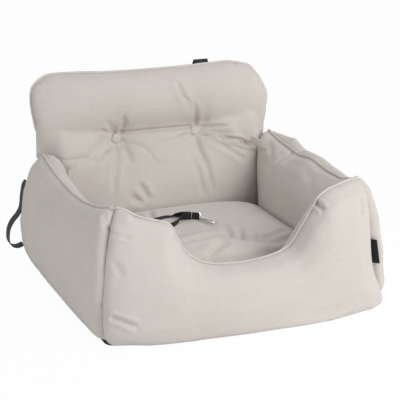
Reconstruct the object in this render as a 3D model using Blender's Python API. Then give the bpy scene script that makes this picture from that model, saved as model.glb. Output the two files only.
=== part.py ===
"""Dog car seat: a stuffed fabric tub on a stiff base, with a tufted backrest that folds.

Metres, +Z up, front towards -Y. The origin lies on the floor under the middle of the base.
"""
import math

import bmesh
import bpy
from mathutils import Matrix, Vector
from mathutils.bvhtree import BVHTree

# Gaps and cloth
CLEARANCE = 0.0003
FABRIC = 0.0015
FILLING_CLEARANCE = 0.0008
CORNER_SEAM_GAP = 0.0006
SEAT_GAP = CLEARANCE * 1.2
AXIS_MERGE = 0.00001
SMOOTH_ANGLE = math.radians(50)
MITER_LIMIT = 0.45
COS_45 = math.cos(math.pi / 4)
OVERRUN = 0.002

# Base: a board in a dark cover
BASE_WIDTH = 0.530
BASE_DEPTH = 0.463
BASE_HEIGHT = 0.012
BASE_CORNER_RADIUS = 0.018
BASE_CORNER_STEPS = 4
BASE_SKIN = 0.0015

# Tub walls: offsets count outwards from the edge of the base
WALL_FOOT = BASE_HEIGHT + CLEARANCE
WALL_HEIGHT = 0.245
WALL_INNER_SWELL = 0.075
SIDE_OUTER_SWELL = 0.034
FRONT_OUTER_SWELL = 0.042
FRONT_END_TUCK = 0.012
FRONT_TUCK_RISE = 0.085
SEAM_INSET = 0.016
FRONT_CORNER_LEAN = 0.027
LEFT_REAR_LEAN = 0.022
LEFT_REAR_LEAN_POWER = 3
RIGHT_REAR_LEAN = 0.010
SIDE_DROOP = 0.0085
FRONT_DROOP = 0.0117
FOOT_SAG_SHARE = 0.75
SAG_POWER = 4
END_INSET_SHARE = 0.0025
SLIT_WIDTH = 0.004
SLIT_INSET = 0.036
CORNER_POWER = 1.2
PINCH_POWER = 4
FOOT_PINCH_POWER = 8
INNER_HEIGHT_SHARES = (0.0, 0.15, 0.45, 0.74, 0.91, 0.985)
INNER_MIDDLE_SHARES = (0.90, 0.99, 0.99, 0.85, 0.62, 0.37)
FRONT_INNER_MIDDLE_SHARES = (0.90, 0.97, 0.90, 0.63, 0.43, 0.29)
INNER_FRONT_CORNER_SHARES = (0.75, 0.79, 0.785, 0.72, 0.625, 0.52)
INNER_REAR_CORNER_SHARES = (0.26, 0.27, 0.40, 0.64, 0.68, 0.56)
OUTER_HEIGHT_SHARES = (0.985, 0.90, 0.68, 0.38, 0.14, 0.03)
SIDE_OUTER_MIDDLE_SHARES = (-0.08, 0.46, 0.86, 1.0, 0.79, 0.38)
FRONT_OUTER_MIDDLE_SHARES = (-0.08, 0.46, 0.86, 1.0, 1.0, 0.87)
OUTER_DOME_SHARES = (1.0, 0.75, 0.2, 0.0, 0.0, 0.0)

# Top lines of the walls: place along the wall from -1 to 1, height as a share of WALL_HEIGHT
LEFT_TOP_SHARES = ((-1.0, 1.01), (-0.75, 0.955), (-0.5, 0.915), (-0.2, 0.88), (0.1, 0.875),
                   (0.4, 0.895), (0.7, 0.925), (1.0, 0.96))
RIGHT_TOP_SHARES = ((-1.0, 1.02), (-0.8, 0.95), (-0.6, 0.90), (-0.4, 0.885), (-0.17, 0.915),
                    (0.05, 0.925), (0.25, 0.905), (0.4, 0.88), (0.52, 0.915), (0.7, 0.925), (1.0, 0.96))
FRONT_TOP_SHARES = ((-1.0, 1.02), (-0.93, 0.992), (-0.82, 0.927), (-0.70, 0.888), (-0.60, 0.86),
                    (-0.56, 0.832), (-0.53, 0.75), (-0.49, 0.66), (-0.414, 0.576), (-0.32, 0.515),
                    (-0.20, 0.48), (0.0, 0.467), (0.20, 0.484), (0.32, 0.515), (0.40, 0.56),
                    (0.466, 0.653), (0.54, 0.775), (0.59, 0.84), (0.63, 0.915), (0.70, 0.957),
                    (0.83, 0.99), (1.0, 1.02))
SIDE_STATION_SHARES = (-1.0, -0.985, -0.93, -0.80, -0.58, -0.30, 0.0, 0.30, 0.52, 0.74, 0.90, 0.975, 1.0)
FRONT_EXTRA_STATION_SHARES = (-0.985, 0.93, 0.985)

# How far the stuffing of the right wall rises outside its seam, as a share of WALL_HEIGHT
RIGHT_DOME_SHARES = ((-1.0, 0.0), (-0.8, 0.005), (-0.5, 0.022), (-0.2, 0.036), (0.1, 0.034), (0.35, 0.055),
                     (0.55, 0.075), (0.75, 0.045), (0.92, 0.02), (1.0, 0.0))
LEVEL_DOME_SHARES = ((-1.0, 0.0), (1.0, 0.0))

# Backrest: the fold line runs along X through (FOLD_Y, FOLD_Z)
FOLD_Y = 0.2315
FOLD_Z = 0.261
FOLD_DRAW_IN = 0.020
REAR_INNER_SWELL = 0.0685
REAR_OUTER_SWELL = 0.044
REAR_INNER_HEIGHT_SHARES = (0.0, 0.14, 0.40, 0.60, 0.76, 0.85, 0.905, 0.954)
REAR_INNER_MIDDLE_SHARES = (0.76, 0.90, 1.0, 0.83, 0.66, 0.52, 0.345, 0.165)
REAR_INNER_CORNER_SHARES = (0.28, 0.29, 0.42, 0.64, 0.73, 0.66, 0.45, 0.165)
REAR_OUTER_HEIGHT_SHARES = (0.9626, 0.80, 0.50, 0.20, 0.032)
REAR_OUTER_MIDDLE_SHARES = (0.98, 0.96, 0.73, 0.46, 0.23)
REAR_OUTER_CORNER_SHARES = (0.20, 0.17, 0.11, 0.08, 0.05)
PAD_REAR_PINCH_POWER = 8
REAR_DRAW_START_SHARE = 0.60
BACKREST_END_SHARES = (0.66, 0.85, 0.95, 0.985, 1.0)
PAD_HEIGHT = 0.126
PAD_HALF_WIDTH = 0.2555
PAD_FOLD_INSET = 0.0125
PAD_FOLD_HALF_WIDTH = PAD_HALF_WIDTH - PAD_FOLD_INSET
PAD_LEFT_RISE = 0.070
PAD_RIGHT_RISE = 0.042
PAD_TOP_SHARES = ((-1.0, 0.68), (-0.985, 0.82), (-0.95, 0.91), (-0.86, 1.0), (-0.78, 1.015), (-0.6, 0.985),
                  (-0.3, 0.955), (0.0, 0.945), (0.3, 0.95), (0.6, 0.97), (0.74, 0.96), (0.85, 0.89),
                  (0.95, 0.63), (0.985, 0.465), (1.0, 0.385))
PAD_LEAN = 0.0145
PAD_EDGE_THICKNESS = 0.008
PAD_FRONT_SWELL = 0.038
PAD_REAR_SWELL = 0.042
PAD_FRONT_SHARES = ((0.09, 0.34), (0.19, 0.68), (0.36, 0.95), (0.555, 1.0), (0.755, 0.87), (0.91, 0.50))
PAD_REAR_SHARES = ((0.90, 0.55), (0.71, 0.80), (0.44, 0.92), (0.20, 0.99), (0.074, 1.0))
PAD_SLIT_SHARES = (0.45, 0.56)
FOLD_LIP = CLEARANCE / 2

# Tufts on the fold line
TUFT_SPACING = 0.174
TUFT_REACH = 0.016
TUFT_DROP = 0.0125
LOWER_TUFT_DEPTH = 0.0185
LOWER_TUFT_SHARES = (0.0, 0.0, 0.0, 0.12, 0.35, 0.75, 1.0, 0.43)
UPPER_TUFT_DEPTH = 0.013
UPPER_TUFT_SHARES = (0.75, 1.0, 0.5, 0.15, 0.0, 0.0)
TUFT_STATION_SHARES = (-1.9, -0.8, 0.0, 0.8, 1.9)
BUTTON_RADIUS = 0.0105
BUTTON_HEIGHT = 0.005
BUTTON_DOME_SHARES = ((1.0, 0.0), (1.0, 0.35), (0.86, 0.72), (0.5, 1.0))
BUTTON_SIDES = 14
BACK_BUTTON_RADIUS = 0.008
BACK_BUTTON_HEIGHT = 0.003

# Seat cushion
CUSHION_SIDE_GAP = 0.0015
CUSHION_CORNER_RADIUS = 0.038
CUSHION_EDGE_HEIGHT = 0.090
CUSHION_CROWN = 0.024
CUSHION_END_SHARE = 0.97
CUSHION_VALLEY_DEPTH = 0.012
CUSHION_VALLEY_REACH = 0.026
CUSHION_VALLEY_Y = -0.078
CUSHION_VALLEY_SLOPE = -0.30
CUSHION_SIDE_HEIGHT_SHARES = (0.0, 0.18, 0.50, 0.82)
CUSHION_SIDE_REACH_SHARES = (0.90, 0.985, 1.0, 0.955)
CUSHION_TOP_SHARES = (-0.86, -0.68, -0.50, -0.34, -0.16, 0.08, 0.34, 0.62, 0.86)
CUSHION_STATION_SHARES = (-1.0, -0.985, -0.93, -0.78, -0.55, -0.28, 0.0, 0.28, 0.55, 0.78, 0.93, 0.985, 1.0)
CUSHION_SLIT_WIDTH = 0.004
CUSHION_FOOT = BASE_HEIGHT + CLEARANCE
CUSHION_HALF_WIDTH = BASE_WIDTH / 2 - WALL_INNER_SWELL - CUSHION_SIDE_GAP
CUSHION_FRONT = -(BASE_DEPTH / 2 - WALL_INNER_SWELL - CUSHION_SIDE_GAP)
CUSHION_REAR = BASE_DEPTH / 2 - REAR_INNER_SWELL - CUSHION_SIDE_GAP
CUSHION_MIDDLE = (CUSHION_FRONT + CUSHION_REAR) / 2
CUSHION_HALF_DEPTH = (CUSHION_REAR - CUSHION_FRONT) / 2

# Piping
PIPING_RADIUS = 0.0024
PIPING_SIDES = 6

# Webbing
WEBBING_THICKNESS = 0.0016

# Tether: two strands from a patch on the left wall to a bolt snap
TETHER_WIDTH = 0.015
TETHER_STEPS = 24
TETHER_ROUTE_BACK = ((-0.1876, 0.0335, 0.1130), (-0.1780, 0.0345, 0.1132), (-0.1650, 0.0355, 0.1150),
                     (-0.1500, 0.0372, 0.1196), (-0.1360, 0.0385, 0.1220), (-0.1220, 0.0385, 0.1226),
                     (-0.1000, 0.0370, 0.1254), (-0.0830, 0.0390, 0.1262), (-0.0635, 0.0460, 0.1270),
                     (-0.0460, 0.0490, 0.1278), (-0.0325, 0.0430, 0.1302), (-0.0245, 0.0365, 0.1334),
                     (-0.0130, 0.0270, 0.1345), (-0.0037, 0.0188, 0.1346))
TETHER_ROUTE_FRONT = ((-0.1876, 0.0335, 0.1110), (-0.1780, 0.0330, 0.1102), (-0.1650, 0.0310, 0.1126),
                      (-0.1500, 0.0280, 0.1174), (-0.1250, 0.0210, 0.1220), (-0.1000, 0.0130, 0.1254),
                      (-0.0800, 0.0050, 0.1260), (-0.0660, -0.0010, 0.1258), (-0.0560, -0.0020, 0.1263),
                      (-0.0460, 0.0040, 0.1279), (-0.0370, 0.0110, 0.1308), (-0.0265, 0.0165, 0.1340),
                      (-0.0140, 0.0185, 0.1345), (-0.0050, 0.0167, 0.1346))
TETHER_TWIST_START_SHARE = 0.72
ANCHOR_DEPTH = 0.0025
ANCHOR_SIZE = 0.024

# Bolt snap: its own axis runs forwards from the swivel, sizes are taken along and across it
SNAP_X = 0.0063
SNAP_Y = 0.0107
SNAP_Z = 0.1352
SNAP_HEADING = math.radians(-66)
SNAP_SLOPE = math.radians(-3)
KEEPER_HEADING = math.radians(-35)
KEEPER_LENGTH = 0.0140
KEEPER_THICKNESS = 0.0060
KEEPER_HEIGHT = 0.0125
KEEPER_EYE_MARGIN = 0.0028
EYE_WIRE = 0.0011
EYE_LENGTH = 0.0090
EYE_HALF_HEIGHT = 0.0076
EYE_STEM_GAP = 0.0014
SNAP_SIDES = 12
WIRE_SIDES = 8
BARREL_LENGTH = 0.0040
BARREL_RADIUS = 0.0028
PIN_LENGTH = 0.0035
PIN_RADIUS = 0.0013
SOCKET_LENGTH = 0.0070
SOCKET_RADIUS = 0.0034
HOUSING_LENGTH = 0.0125
HOUSING_RADIUS = 0.0027
BOLT_RADIUS = 0.0013
BOLT_LENGTH = 0.0152
BOLT_TRAVEL = 0.0065
BOLT_WALL = 0.0020
LEVER_LENGTH = 0.0018
LEVER_HEIGHT = 0.0045
LEVER_THICKNESS = 0.0016
HOOK_WIRE = 0.0015
HOOK_LENGTH = 0.0390
HOOK_REACH = 0.0062
BOLT_OFFSET = 0.0026

# Belt loop at the left rear corner
LOOP_WIDTH = 0.025
LOOP_STEPS = 30
LOOP_ROUTE = ((-0.2741, 0.2355, 0.1765), (-0.2775, 0.2355, 0.1730), (-0.2814, 0.2355, 0.1650),
              (-0.2853, 0.2355, 0.1450), (-0.2885, 0.2355, 0.1220), (-0.2960, 0.2355, 0.1080),
              (-0.3060, 0.2355, 0.0970), (-0.3140, 0.2355, 0.0830), (-0.3172, 0.2355, 0.0670),
              (-0.3160, 0.2355, 0.0520), (-0.3090, 0.2355, 0.0430), (-0.3000, 0.2355, 0.0405),
              (-0.2930, 0.2355, 0.0418), (-0.2866, 0.2355, 0.0445))

# Headrest strap and its buckle on the back of the upper pad
STRAP_X = 0.114
STRAP_WIDTH = 0.030
STRAP_RISE = 0.0085
STRAP_SPAN = 0.0100
BUCKLE_WIDTH = 0.038
BUCKLE_THICKNESS = 0.009
BUCKLE_BOTTOM = 0.040
FEMALE_HEIGHT = 0.026
MALE_HEIGHT = 0.012
PRONG_LENGTH = 0.018
PRONG_WIDTH = 0.026
PRONG_THICKNESS = 0.0045
BUCKLE_TRAVEL = 0.020
BUCKLE_STRAP_LENGTH = 0.012
TAIL_STEPS = 6
TAIL_BEND_SHARES = (0.68, 0.38)

# Side tag in the right front corner seam, and the two tabs in the rear corners
TAG_LENGTH = 0.046
TAG_WIDTH = 0.016
TAG_THICKNESS = 0.0012
TAG_BOTTOM = 0.084
TAG_START = 0.0040
TAB_LENGTH = 0.030
TAB_WIDTH = 0.017
TAB_THICKNESS = 0.002
TAB_INSET_X = 0.069
TAB_INSET_Y = 0.0515
TAB_X = BASE_WIDTH / 2 - TAB_INSET_X
TAB_Y = BASE_DEPTH / 2 - TAB_INSET_Y
TAB_LEFT_DROP = 0.040
TAB_RIGHT_DROP = 0.0225
TAB_TURN = math.radians(45)
TAB_TILT = math.radians(20)


def clear_scene():
    for thing in list(bpy.data.objects):
        bpy.data.objects.remove(thing, do_unlink=True)


# Materials

def make_look(name, colour, roughness, metallic=0.0):
    look = bpy.data.materials.new(name)
    look.use_nodes = True
    shader = look.node_tree.nodes["Principled BSDF"]
    shader.inputs["Base Color"].default_value = (*colour, 1.0)
    shader.inputs["Roughness"].default_value = roughness
    shader.inputs["Metallic"].default_value = metallic
    return look


def linen_look():
    return make_look("linen_fabric", (0.64, 0.60, 0.56), 0.92)


def piping_look():
    return make_look("linen_piping", (0.58, 0.55, 0.51), 0.92)


def filling_look():
    return make_look("fibre_filling", (0.90, 0.90, 0.88), 0.95)


def base_look():
    return make_look("non_slip_fabric", (0.02, 0.02, 0.022), 0.85)


def board_look():
    return make_look("hardboard", (0.42, 0.30, 0.19), 0.80)


def webbing_look():
    return make_look("black_webbing", (0.015, 0.015, 0.016), 0.75)


def buckle_look():
    return make_look("black_plastic", (0.02, 0.02, 0.02), 0.40)


def snap_look():
    return make_look("nickel_plate", (0.72, 0.71, 0.69), 0.25, 1.0)


# Mesh helpers

def add_solid(name, points, faces, look):
    """One closed mesh from points and faces, with its faces turned outwards."""
    mesh = bpy.data.meshes.new(name)
    mesh.from_pydata([tuple(point) for point in points], [], faces)
    shape = bmesh.new()
    shape.from_mesh(mesh)
    bmesh.ops.recalc_face_normals(shape, faces=shape.faces)
    shape.to_mesh(mesh)
    shape.free()
    mesh.shade_smooth()
    mesh.set_sharp_from_angle(angle=SMOOTH_ANGLE)
    mesh.materials.append(look)
    thing = bpy.data.objects.new(name, mesh)
    bpy.context.scene.collection.objects.link(thing)
    return thing


def add_pivot(name, place, turn=None):
    """An empty on a joint's axis."""
    pivot = bpy.data.objects.new(name, None)
    pivot.matrix_world = Matrix.Translation(place) @ (turn or Matrix.Identity(4))
    bpy.context.scene.collection.objects.link(pivot)
    return pivot


def hang_on(thing, pivot):
    """Give a solid made in world space the pivot as its parent and its origin."""
    thing.data.transform(Matrix.Translation(-pivot.location))
    thing.parent = pivot


def smooth_value(table, place):
    """A smooth curve through the points of a table, read at one place."""
    last = len(table) - 1
    slopes = []
    for i in range(len(table)):
        low, high = max(i - 1, 0), min(i + 1, last)
        slopes.append((table[high][1] - table[low][1]) / (table[high][0] - table[low][0]))
    k = 0
    while k < last - 1 and place > table[k + 1][0]:
        k += 1
    (x0, y0), (x1, y1) = table[k], table[k + 1]
    span = x1 - x0
    t = min(max((place - x0) / span, 0), 1)
    rise = 3 * t * t - 2 * t * t * t
    start = t * (1 - t) * (1 - t)
    stop = t * t * (t - 1)
    return y0 + (y1 - y0) * rise + span * (slopes[k] * start + slopes[k + 1] * stop)


def mix(low, high, share):
    return low + (high - low) * share


def fade(share):
    """A smooth step from 0 to 1."""
    t = min(max(share, 0), 1)
    return t * t * (3 - 2 * t)


def inset(loop, distance):
    """A closed flat outline moved inwards, corner by corner."""
    count = len(loop)
    area = sum(loop[i][0] * loop[(i + 1) % count][1] - loop[(i + 1) % count][0] * loop[i][1]
               for i in range(count))
    side = 1 if area > 0 else -1
    moved = []
    for i in range(count):
        before = (Vector(loop[i]) - Vector(loop[i - 1])).normalized()
        after = (Vector(loop[(i + 1) % count]) - Vector(loop[i])).normalized()
        normal_before = Vector((-before.y, before.x)) * side
        normal_after = Vector((-after.y, after.x)) * side
        bend = max(1 + normal_before.dot(normal_after), MITER_LIMIT)
        moved.append(Vector(loop[i]) + (normal_before + normal_after) * (distance / bend))
    return moved


def skin_rings(rings, turning_point):
    """Triangles between neighbouring rings; their diagonals turn over where a ring runs back."""
    count = len(rings[0])
    faces = []
    for j in range(len(rings) - 1):
        for i in range(count):
            a = j * count + i
            b = j * count + (i + 1) % count
            if i < turning_point:
                faces.append((a, b, b + count))
                faces.append((a, b + count, a + count))
            else:
                faces.append((a, b, a + count))
                faces.append((b, b + count, a + count))
    return faces


def add_filling(name, rings, look):
    """A closed body through a row of rings, capped at both ends."""
    count = len(rings[0])
    first_of_last = (len(rings) - 1) * count
    faces = skin_rings(rings, count)
    faces.append(tuple(range(count)))
    faces.append(tuple(first_of_last + i for i in range(count)))
    return add_solid(name, [point for ring in rings for point in ring], faces, look)


def add_cover(name, outer_rings, inner_rings, look):
    """A cloth tube, slit between the last and the first point of its rings and open at its ends."""
    count = len(outer_rings[0])
    rings = [list(outer) + list(reversed(inner)) for outer, inner in zip(outer_rings, inner_rings)]
    faces = skin_rings(rings, count)
    for start in (0, (len(rings) - 1) * 2 * count):
        for i in range(count - 1):
            j = 2 * count - 1 - i
            faces.append((start + i, start + i + 1, start + j - 1, start + j))
    return add_solid(name, [point for ring in rings for point in ring], faces, look)


def add_stuffed(name, sections, place_point, end_inset, looks):
    """A cloth cover and its filling, from flat sections and a rule that puts a section in space."""
    cover_look, stuffing_look = looks
    outer, inner, stuffing = [], [], []
    reach = FABRIC + FILLING_CLEARANCE
    for station, loop in sections:
        outer.append([place_point(station, point) for point in loop])
        inner.append([place_point(station, point) for point in inset(loop, FABRIC)])
        pulled = min(max(station, end_inset - 1), 1 - end_inset)
        stuffing.append([place_point(pulled, point) for point in inset(loop, reach)])
    cover = add_cover(name + "_cover", outer, inner, cover_look)
    filling = add_filling(name + "_filling", stuffing, stuffing_look)
    return cover, filling


def sweep(name, points, outline, look, ups, start_plane=None, end_plane=None):
    """A bar of one outline along a path, with the outline's second axis along the given ups."""
    rings = []
    last = len(points) - 1
    for i, point in enumerate(points):
        along = (points[min(i + 1, last)] - points[max(i - 1, 0)]).normalized()
        up = (ups[i] - along * ups[i].dot(along)).normalized()
        side = along.cross(up)
        ring = [point + side * a + up * b for a, b in outline]
        plane = start_plane if i == 0 else end_plane if i == last else None
        if plane:
            origin, normal = plane
            ring = [p + along * ((origin - p).dot(normal) / along.dot(normal)) for p in ring]
        rings.append(ring)
    return add_filling(name, rings, look)


def round_outline(radius, sides):
    return [(radius * math.cos(2 * math.pi * k / sides), radius * math.sin(2 * math.pi * k / sides))
            for k in range(sides)]


def flat_outline(width, thickness):
    """A strap's outline: its width along the second axis."""
    a, b = thickness / 2, width / 2
    return [(-a, -b), (a, -b), (a, b), (-a, b)]


def even_curve(points, steps):
    """Evenly spread points on a smooth curve through a few chosen points."""
    fine = []
    parts = 16
    last = len(points) - 1
    for i in range(last):
        p0, p1 = points[max(i - 1, 0)], points[i]
        p2, p3 = points[i + 1], points[min(i + 2, last)]
        for k in range(parts):
            t = k / parts
            fine.append(p1 * (1 - t) ** 2 * (1 + 2 * t) + p2 * t * t * (3 - 2 * t)
                        + (p2 - p0) / 2 * t * (1 - t) ** 2 - (p3 - p1) / 2 * t * t * (1 - t))
    fine.append(points[-1])
    lengths = [0.0]
    for before, after in zip(fine, fine[1:]):
        lengths.append(lengths[-1] + (after - before).length)
    result = []
    k = 0
    for j in range(steps + 1):
        goal = lengths[-1] * j / steps
        while k < len(fine) - 2 and lengths[k + 1] < goal:
            k += 1
        share = (goal - lengths[k]) / (lengths[k + 1] - lengths[k])
        result.append(fine[k].lerp(fine[k + 1], min(max(share, 0), 1)))
    return result


def box_parts(low, high):
    points = [(x, y, z) for x in (low[0], high[0]) for y in (low[1], high[1]) for z in (low[2], high[2])]
    faces = [(0, 1, 3, 2), (4, 6, 7, 5), (0, 4, 5, 1), (2, 3, 7, 6), (0, 2, 6, 4), (1, 5, 7, 3)]
    return points, faces


def add_box(name, low, high, look):
    points, faces = box_parts(low, high)
    return add_solid(name, points, faces, look)


def combine(thing, tool, operation):
    """Join a second solid to the first or cut it out, and drop the second."""
    modifier = thing.modifiers.new(operation.lower(), "BOOLEAN")
    modifier.operation = operation
    modifier.solver = "EXACT"
    modifier.object = tool
    bpy.context.view_layer.update()
    shape = bpy.context.evaluated_depsgraph_get()
    result = bpy.data.meshes.new_from_object(thing.evaluated_get(shape))
    thing.modifiers.clear()
    look = thing.data.materials[0]
    thing.data = result
    result.materials.clear()
    result.materials.append(look)
    result.shade_smooth()
    result.set_sharp_from_angle(angle=SMOOTH_ANGLE)
    bpy.data.objects.remove(tool, do_unlink=True)


def surface_of(thing):
    """A solid's surface in world space, for measuring distances to it."""
    points = [thing.matrix_world @ vertex.co for vertex in thing.data.vertices]
    return BVHTree.FromPolygons(points, [tuple(face.vertices) for face in thing.data.polygons])


def slide_onto(thing, supports, direction):
    """Move a solid along a direction until it lies a clearance away from the nearest support."""
    surfaces = [surface_of(support) for support in supports]
    gaps = []
    for point in sample_points(thing):
        for surface in surfaces:
            gap = surface.ray_cast(point, direction)[3]
            if gap is not None:
                gaps.append(gap)
    for support in supports:
        own = surface_of(thing)
        for vertex in support.data.vertices:
            gap = own.ray_cast(support.matrix_world @ vertex.co, -direction)[3]
            if gap is not None:
                gaps.append(gap)
    thing.data.transform(Matrix.Translation(direction * (min(gaps) - SEAT_GAP)))
    return thing


def sample_points(thing):
    """Corners, edge middles and face middles of a solid."""
    mesh = thing.data
    points = [vertex.co.copy() for vertex in mesh.vertices]
    for edge in mesh.edges:
        a, b = edge.vertices
        points.append((mesh.vertices[a].co + mesh.vertices[b].co) / 2)
    points += [face.center.copy() for face in mesh.polygons]
    return points


def revolve(name, outline, place, look):
    """A turned solid from a closed outline of (along, radius), put in space by a matrix."""
    rings = []
    for k in range(SNAP_SIDES):
        turn = 2 * math.pi * (k + 1 / 2) / SNAP_SIDES
        rings.append([place @ Vector((along, radius * math.cos(turn), radius * math.sin(turn)))
                      for along, radius in outline])
    count = len(outline)
    points = [point for ring in rings for point in ring]
    faces = []
    for j in range(SNAP_SIDES):
        for i in range(count):
            a, b = j * count + i, j * count + (i + 1) % count
            c, d = ((j + 1) % SNAP_SIDES) * count + (i + 1) % count, ((j + 1) % SNAP_SIDES) * count + i
            faces.append((a, b, c, d))
    thing = add_solid(name, points, faces, look)
    shape = bmesh.new()
    shape.from_mesh(thing.data)
    bmesh.ops.remove_doubles(shape, verts=shape.verts, dist=AXIS_MERGE)
    bmesh.ops.recalc_face_normals(shape, faces=shape.faces)
    shape.to_mesh(thing.data)
    shape.free()
    return thing


# Base

def rounded_rectangle(half_width, half_depth, radius):
    corners = ((1, 1, 0), (-1, 1, 1), (-1, -1, 2), (1, -1, 3))
    points = []
    for side_x, side_y, quarter in corners:
        for k in range(BASE_CORNER_STEPS + 1):
            turn = math.pi / 2 * (quarter + k / BASE_CORNER_STEPS)
            points.append((side_x * (half_width - radius) + radius * math.cos(turn),
                           side_y * (half_depth - radius) + radius * math.sin(turn)))
    return points


def add_slab(name, outline, low, high, look):
    return add_filling(name, [[(x, y, low) for x, y in outline], [(x, y, high) for x, y in outline]], look)


def add_base():
    half_width, half_depth = BASE_WIDTH / 2, BASE_DEPTH / 2
    low, high = BASE_SKIN, BASE_HEIGHT - BASE_SKIN
    cover = add_slab("base_cover", rounded_rectangle(half_width, half_depth, BASE_CORNER_RADIUS),
                     0, BASE_HEIGHT, base_look())
    room = rounded_rectangle(half_width - BASE_SKIN, half_depth - BASE_SKIN, BASE_CORNER_RADIUS - BASE_SKIN)
    combine(cover, add_slab("base_pocket", room, low, high, base_look()), "DIFFERENCE")
    mouth = half_width - BASE_CORNER_RADIUS
    combine(cover, add_box("base_mouth", (-mouth, 0, low), (mouth, half_depth + OVERRUN, high), base_look()),
            "DIFFERENCE")
    edge = BASE_SKIN + CLEARANCE
    board = rounded_rectangle(half_width - edge, half_depth - edge, BASE_CORNER_RADIUS - edge)
    add_slab("base_board", board, edge, BASE_HEIGHT - edge, board_look())


# Tub walls

def pinch(station, power=PINCH_POWER):
    """How fully a wall is stuffed: 1 in its middle, 0 at its corner seams."""
    return math.sqrt(max(1 - abs(station) ** power, 0))


def slit_edges(foot_width):
    """Offsets of the two edges of the slit in a wall's foot."""
    middle = -min(SLIT_INSET, foot_width / 2)
    return middle - SLIT_WIDTH / 2, middle + SLIT_WIDTH / 2


def wall_section(station, shape):
    """The flat outline of a wall as offset and height, from the slit in its foot round to it again."""
    full = pinch(station)
    foot_full = pinch(station, FOOT_PINCH_POWER)
    height = smooth_value(shape["top"], station) * WALL_HEIGHT - WALL_FOOT
    dome = smooth_value(shape["dome"], station) * WALL_HEIGHT
    lean, lean_power = shape["lean"](station)
    seam = mix(-lean, -SEAM_INSET, full)
    foot = WALL_INNER_SWELL * mix(shape["corner"](station)[0], INNER_MIDDLE_SHARES[0], full)
    loop = [(slit_edges(foot)[0], WALL_FOOT)]
    for share, middle, corner in zip(INNER_HEIGHT_SHARES, shape["inner"], shape["corner"](station)):
        offset = -WALL_INNER_SWELL * mix(corner, middle, full)
        loop.append((offset, WALL_FOOT + height * share))
    loop.append((seam, WALL_FOOT + height))
    for share, middle, dome_share in zip(OUTER_HEIGHT_SHARES, shape["outer"], OUTER_DOME_SHARES):
        row_full = full if share == OUTER_HEIGHT_SHARES[-1] else mix(foot_full, full, share)
        corner = -lean * share ** lean_power
        sag = full * fade(1 - share / OUTER_HEIGHT_SHARES[-2])
        rise = height * share * (1 - FOOT_SAG_SHARE * sag ** SAG_POWER) - shape["droop"] * sag
        offset = mix(corner, shape["swell"] * middle, row_full) + dome * dome_share / 2
        loop.append((offset, WALL_FOOT + rise + dome * dome_share))
    loop.append((OVERRUN * (1 + full), WALL_FOOT + mix(FABRIC, -shape["droop"], full)))
    loop.append((CLEARANCE * full, WALL_FOOT))
    loop.append((slit_edges(foot)[1], WALL_FOOT))
    return loop


def side_corner_shares(station):
    """How far a side wall stands in over the base at its corners: less at the rear than in front."""
    ends = zip(INNER_FRONT_CORNER_SHARES, INNER_REAR_CORNER_SHARES)
    return [mix(front, rear, (station + 1) / 2) for front, rear in ends]


def side_shape(top, dome, rear_lean, rear_power):
    """All that tells one side wall from the other; its lean is given as reach and power."""
    def lean(station):
        share = (station + 1) / 2
        return mix(FRONT_CORNER_LEAN, rear_lean, share), mix(CORNER_POWER, rear_power, share)

    return {"top": top, "dome": dome, "inner": INNER_MIDDLE_SHARES,
            "outer": SIDE_OUTER_MIDDLE_SHARES, "swell": SIDE_OUTER_SWELL,
            "droop": SIDE_DROOP, "lean": lean, "corner": side_corner_shares}


def front_shape():
    return {"top": FRONT_TOP_SHARES, "dome": LEVEL_DOME_SHARES, "inner": FRONT_INNER_MIDDLE_SHARES,
            "outer": FRONT_OUTER_MIDDLE_SHARES,
            "swell": FRONT_OUTER_SWELL, "droop": FRONT_DROOP,
            "lean": lambda station: (FRONT_CORNER_LEAN, CORNER_POWER),
            "corner": lambda station: INNER_FRONT_CORNER_SHARES}


def wall_sections(stations, shape):
    return [(station, wall_section(station, shape)) for station in stations]


def side_place(side):
    def place(station, point):
        reach = BASE_DEPTH / 2 + point[0] - CORNER_SEAM_GAP / 2
        return Vector((side * (BASE_WIDTH / 2 + point[0]), station * reach, point[1]))
    return place


def front_place(station, point):
    offset = point[0]
    if station > 0:
        tucked = min(offset, -FRONT_END_TUCK * pinch(station))
        offset = mix(offset, tucked, fade((point[1] - WALL_FOOT) / FRONT_TUCK_RISE))
    reach = BASE_WIDTH / 2 + offset - CORNER_SEAM_GAP / 2
    return Vector((station * reach, -BASE_DEPTH / 2 - point[0], point[1]))


def front_stations():
    return sorted([s for s, share in FRONT_TOP_SHARES] + list(FRONT_EXTRA_STATION_SHARES))


def seam_points(sections, place):
    """The top seam of a wall, and the direction that points away from the stuffing there."""
    index = 1 + len(INNER_HEIGHT_SHARES)
    seam, away = [], []
    for station, loop in sections:
        seam.append(place(station, loop[index]))
        within = place(station, inset(loop, FABRIC)[index])
        away.append(seam[-1] - within)
    return seam, away


def add_piping(name, seam, away, look, end_planes=(None, None)):
    """A round cord that lies on a seam."""
    last = len(seam) - 1
    lift = PIPING_RADIUS / math.cos(math.pi / PIPING_SIDES) + CLEARANCE
    points, ups = [], []
    for i in range(len(seam)):
        along = (seam[min(i + 1, last)] - seam[max(i - 1, 0)]).normalized()
        up = (away[i] - along * away[i].dot(along)).normalized()
        points.append(seam[i] + up * lift)
        ups.append(up)
    return sweep(name, points, round_outline(PIPING_RADIUS, PIPING_SIDES), look, ups, *end_planes)


def corner_plane(side_x, side_y, turn):
    """The upright plane through a corner seam, moved half a gap towards one wall."""
    normal = Vector((side_x, -side_y, 0)).normalized() * turn
    corner = Vector((side_x * BASE_WIDTH / 2, side_y * BASE_DEPTH / 2, 0))
    return corner + normal * CORNER_SEAM_GAP / 2, normal


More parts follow.
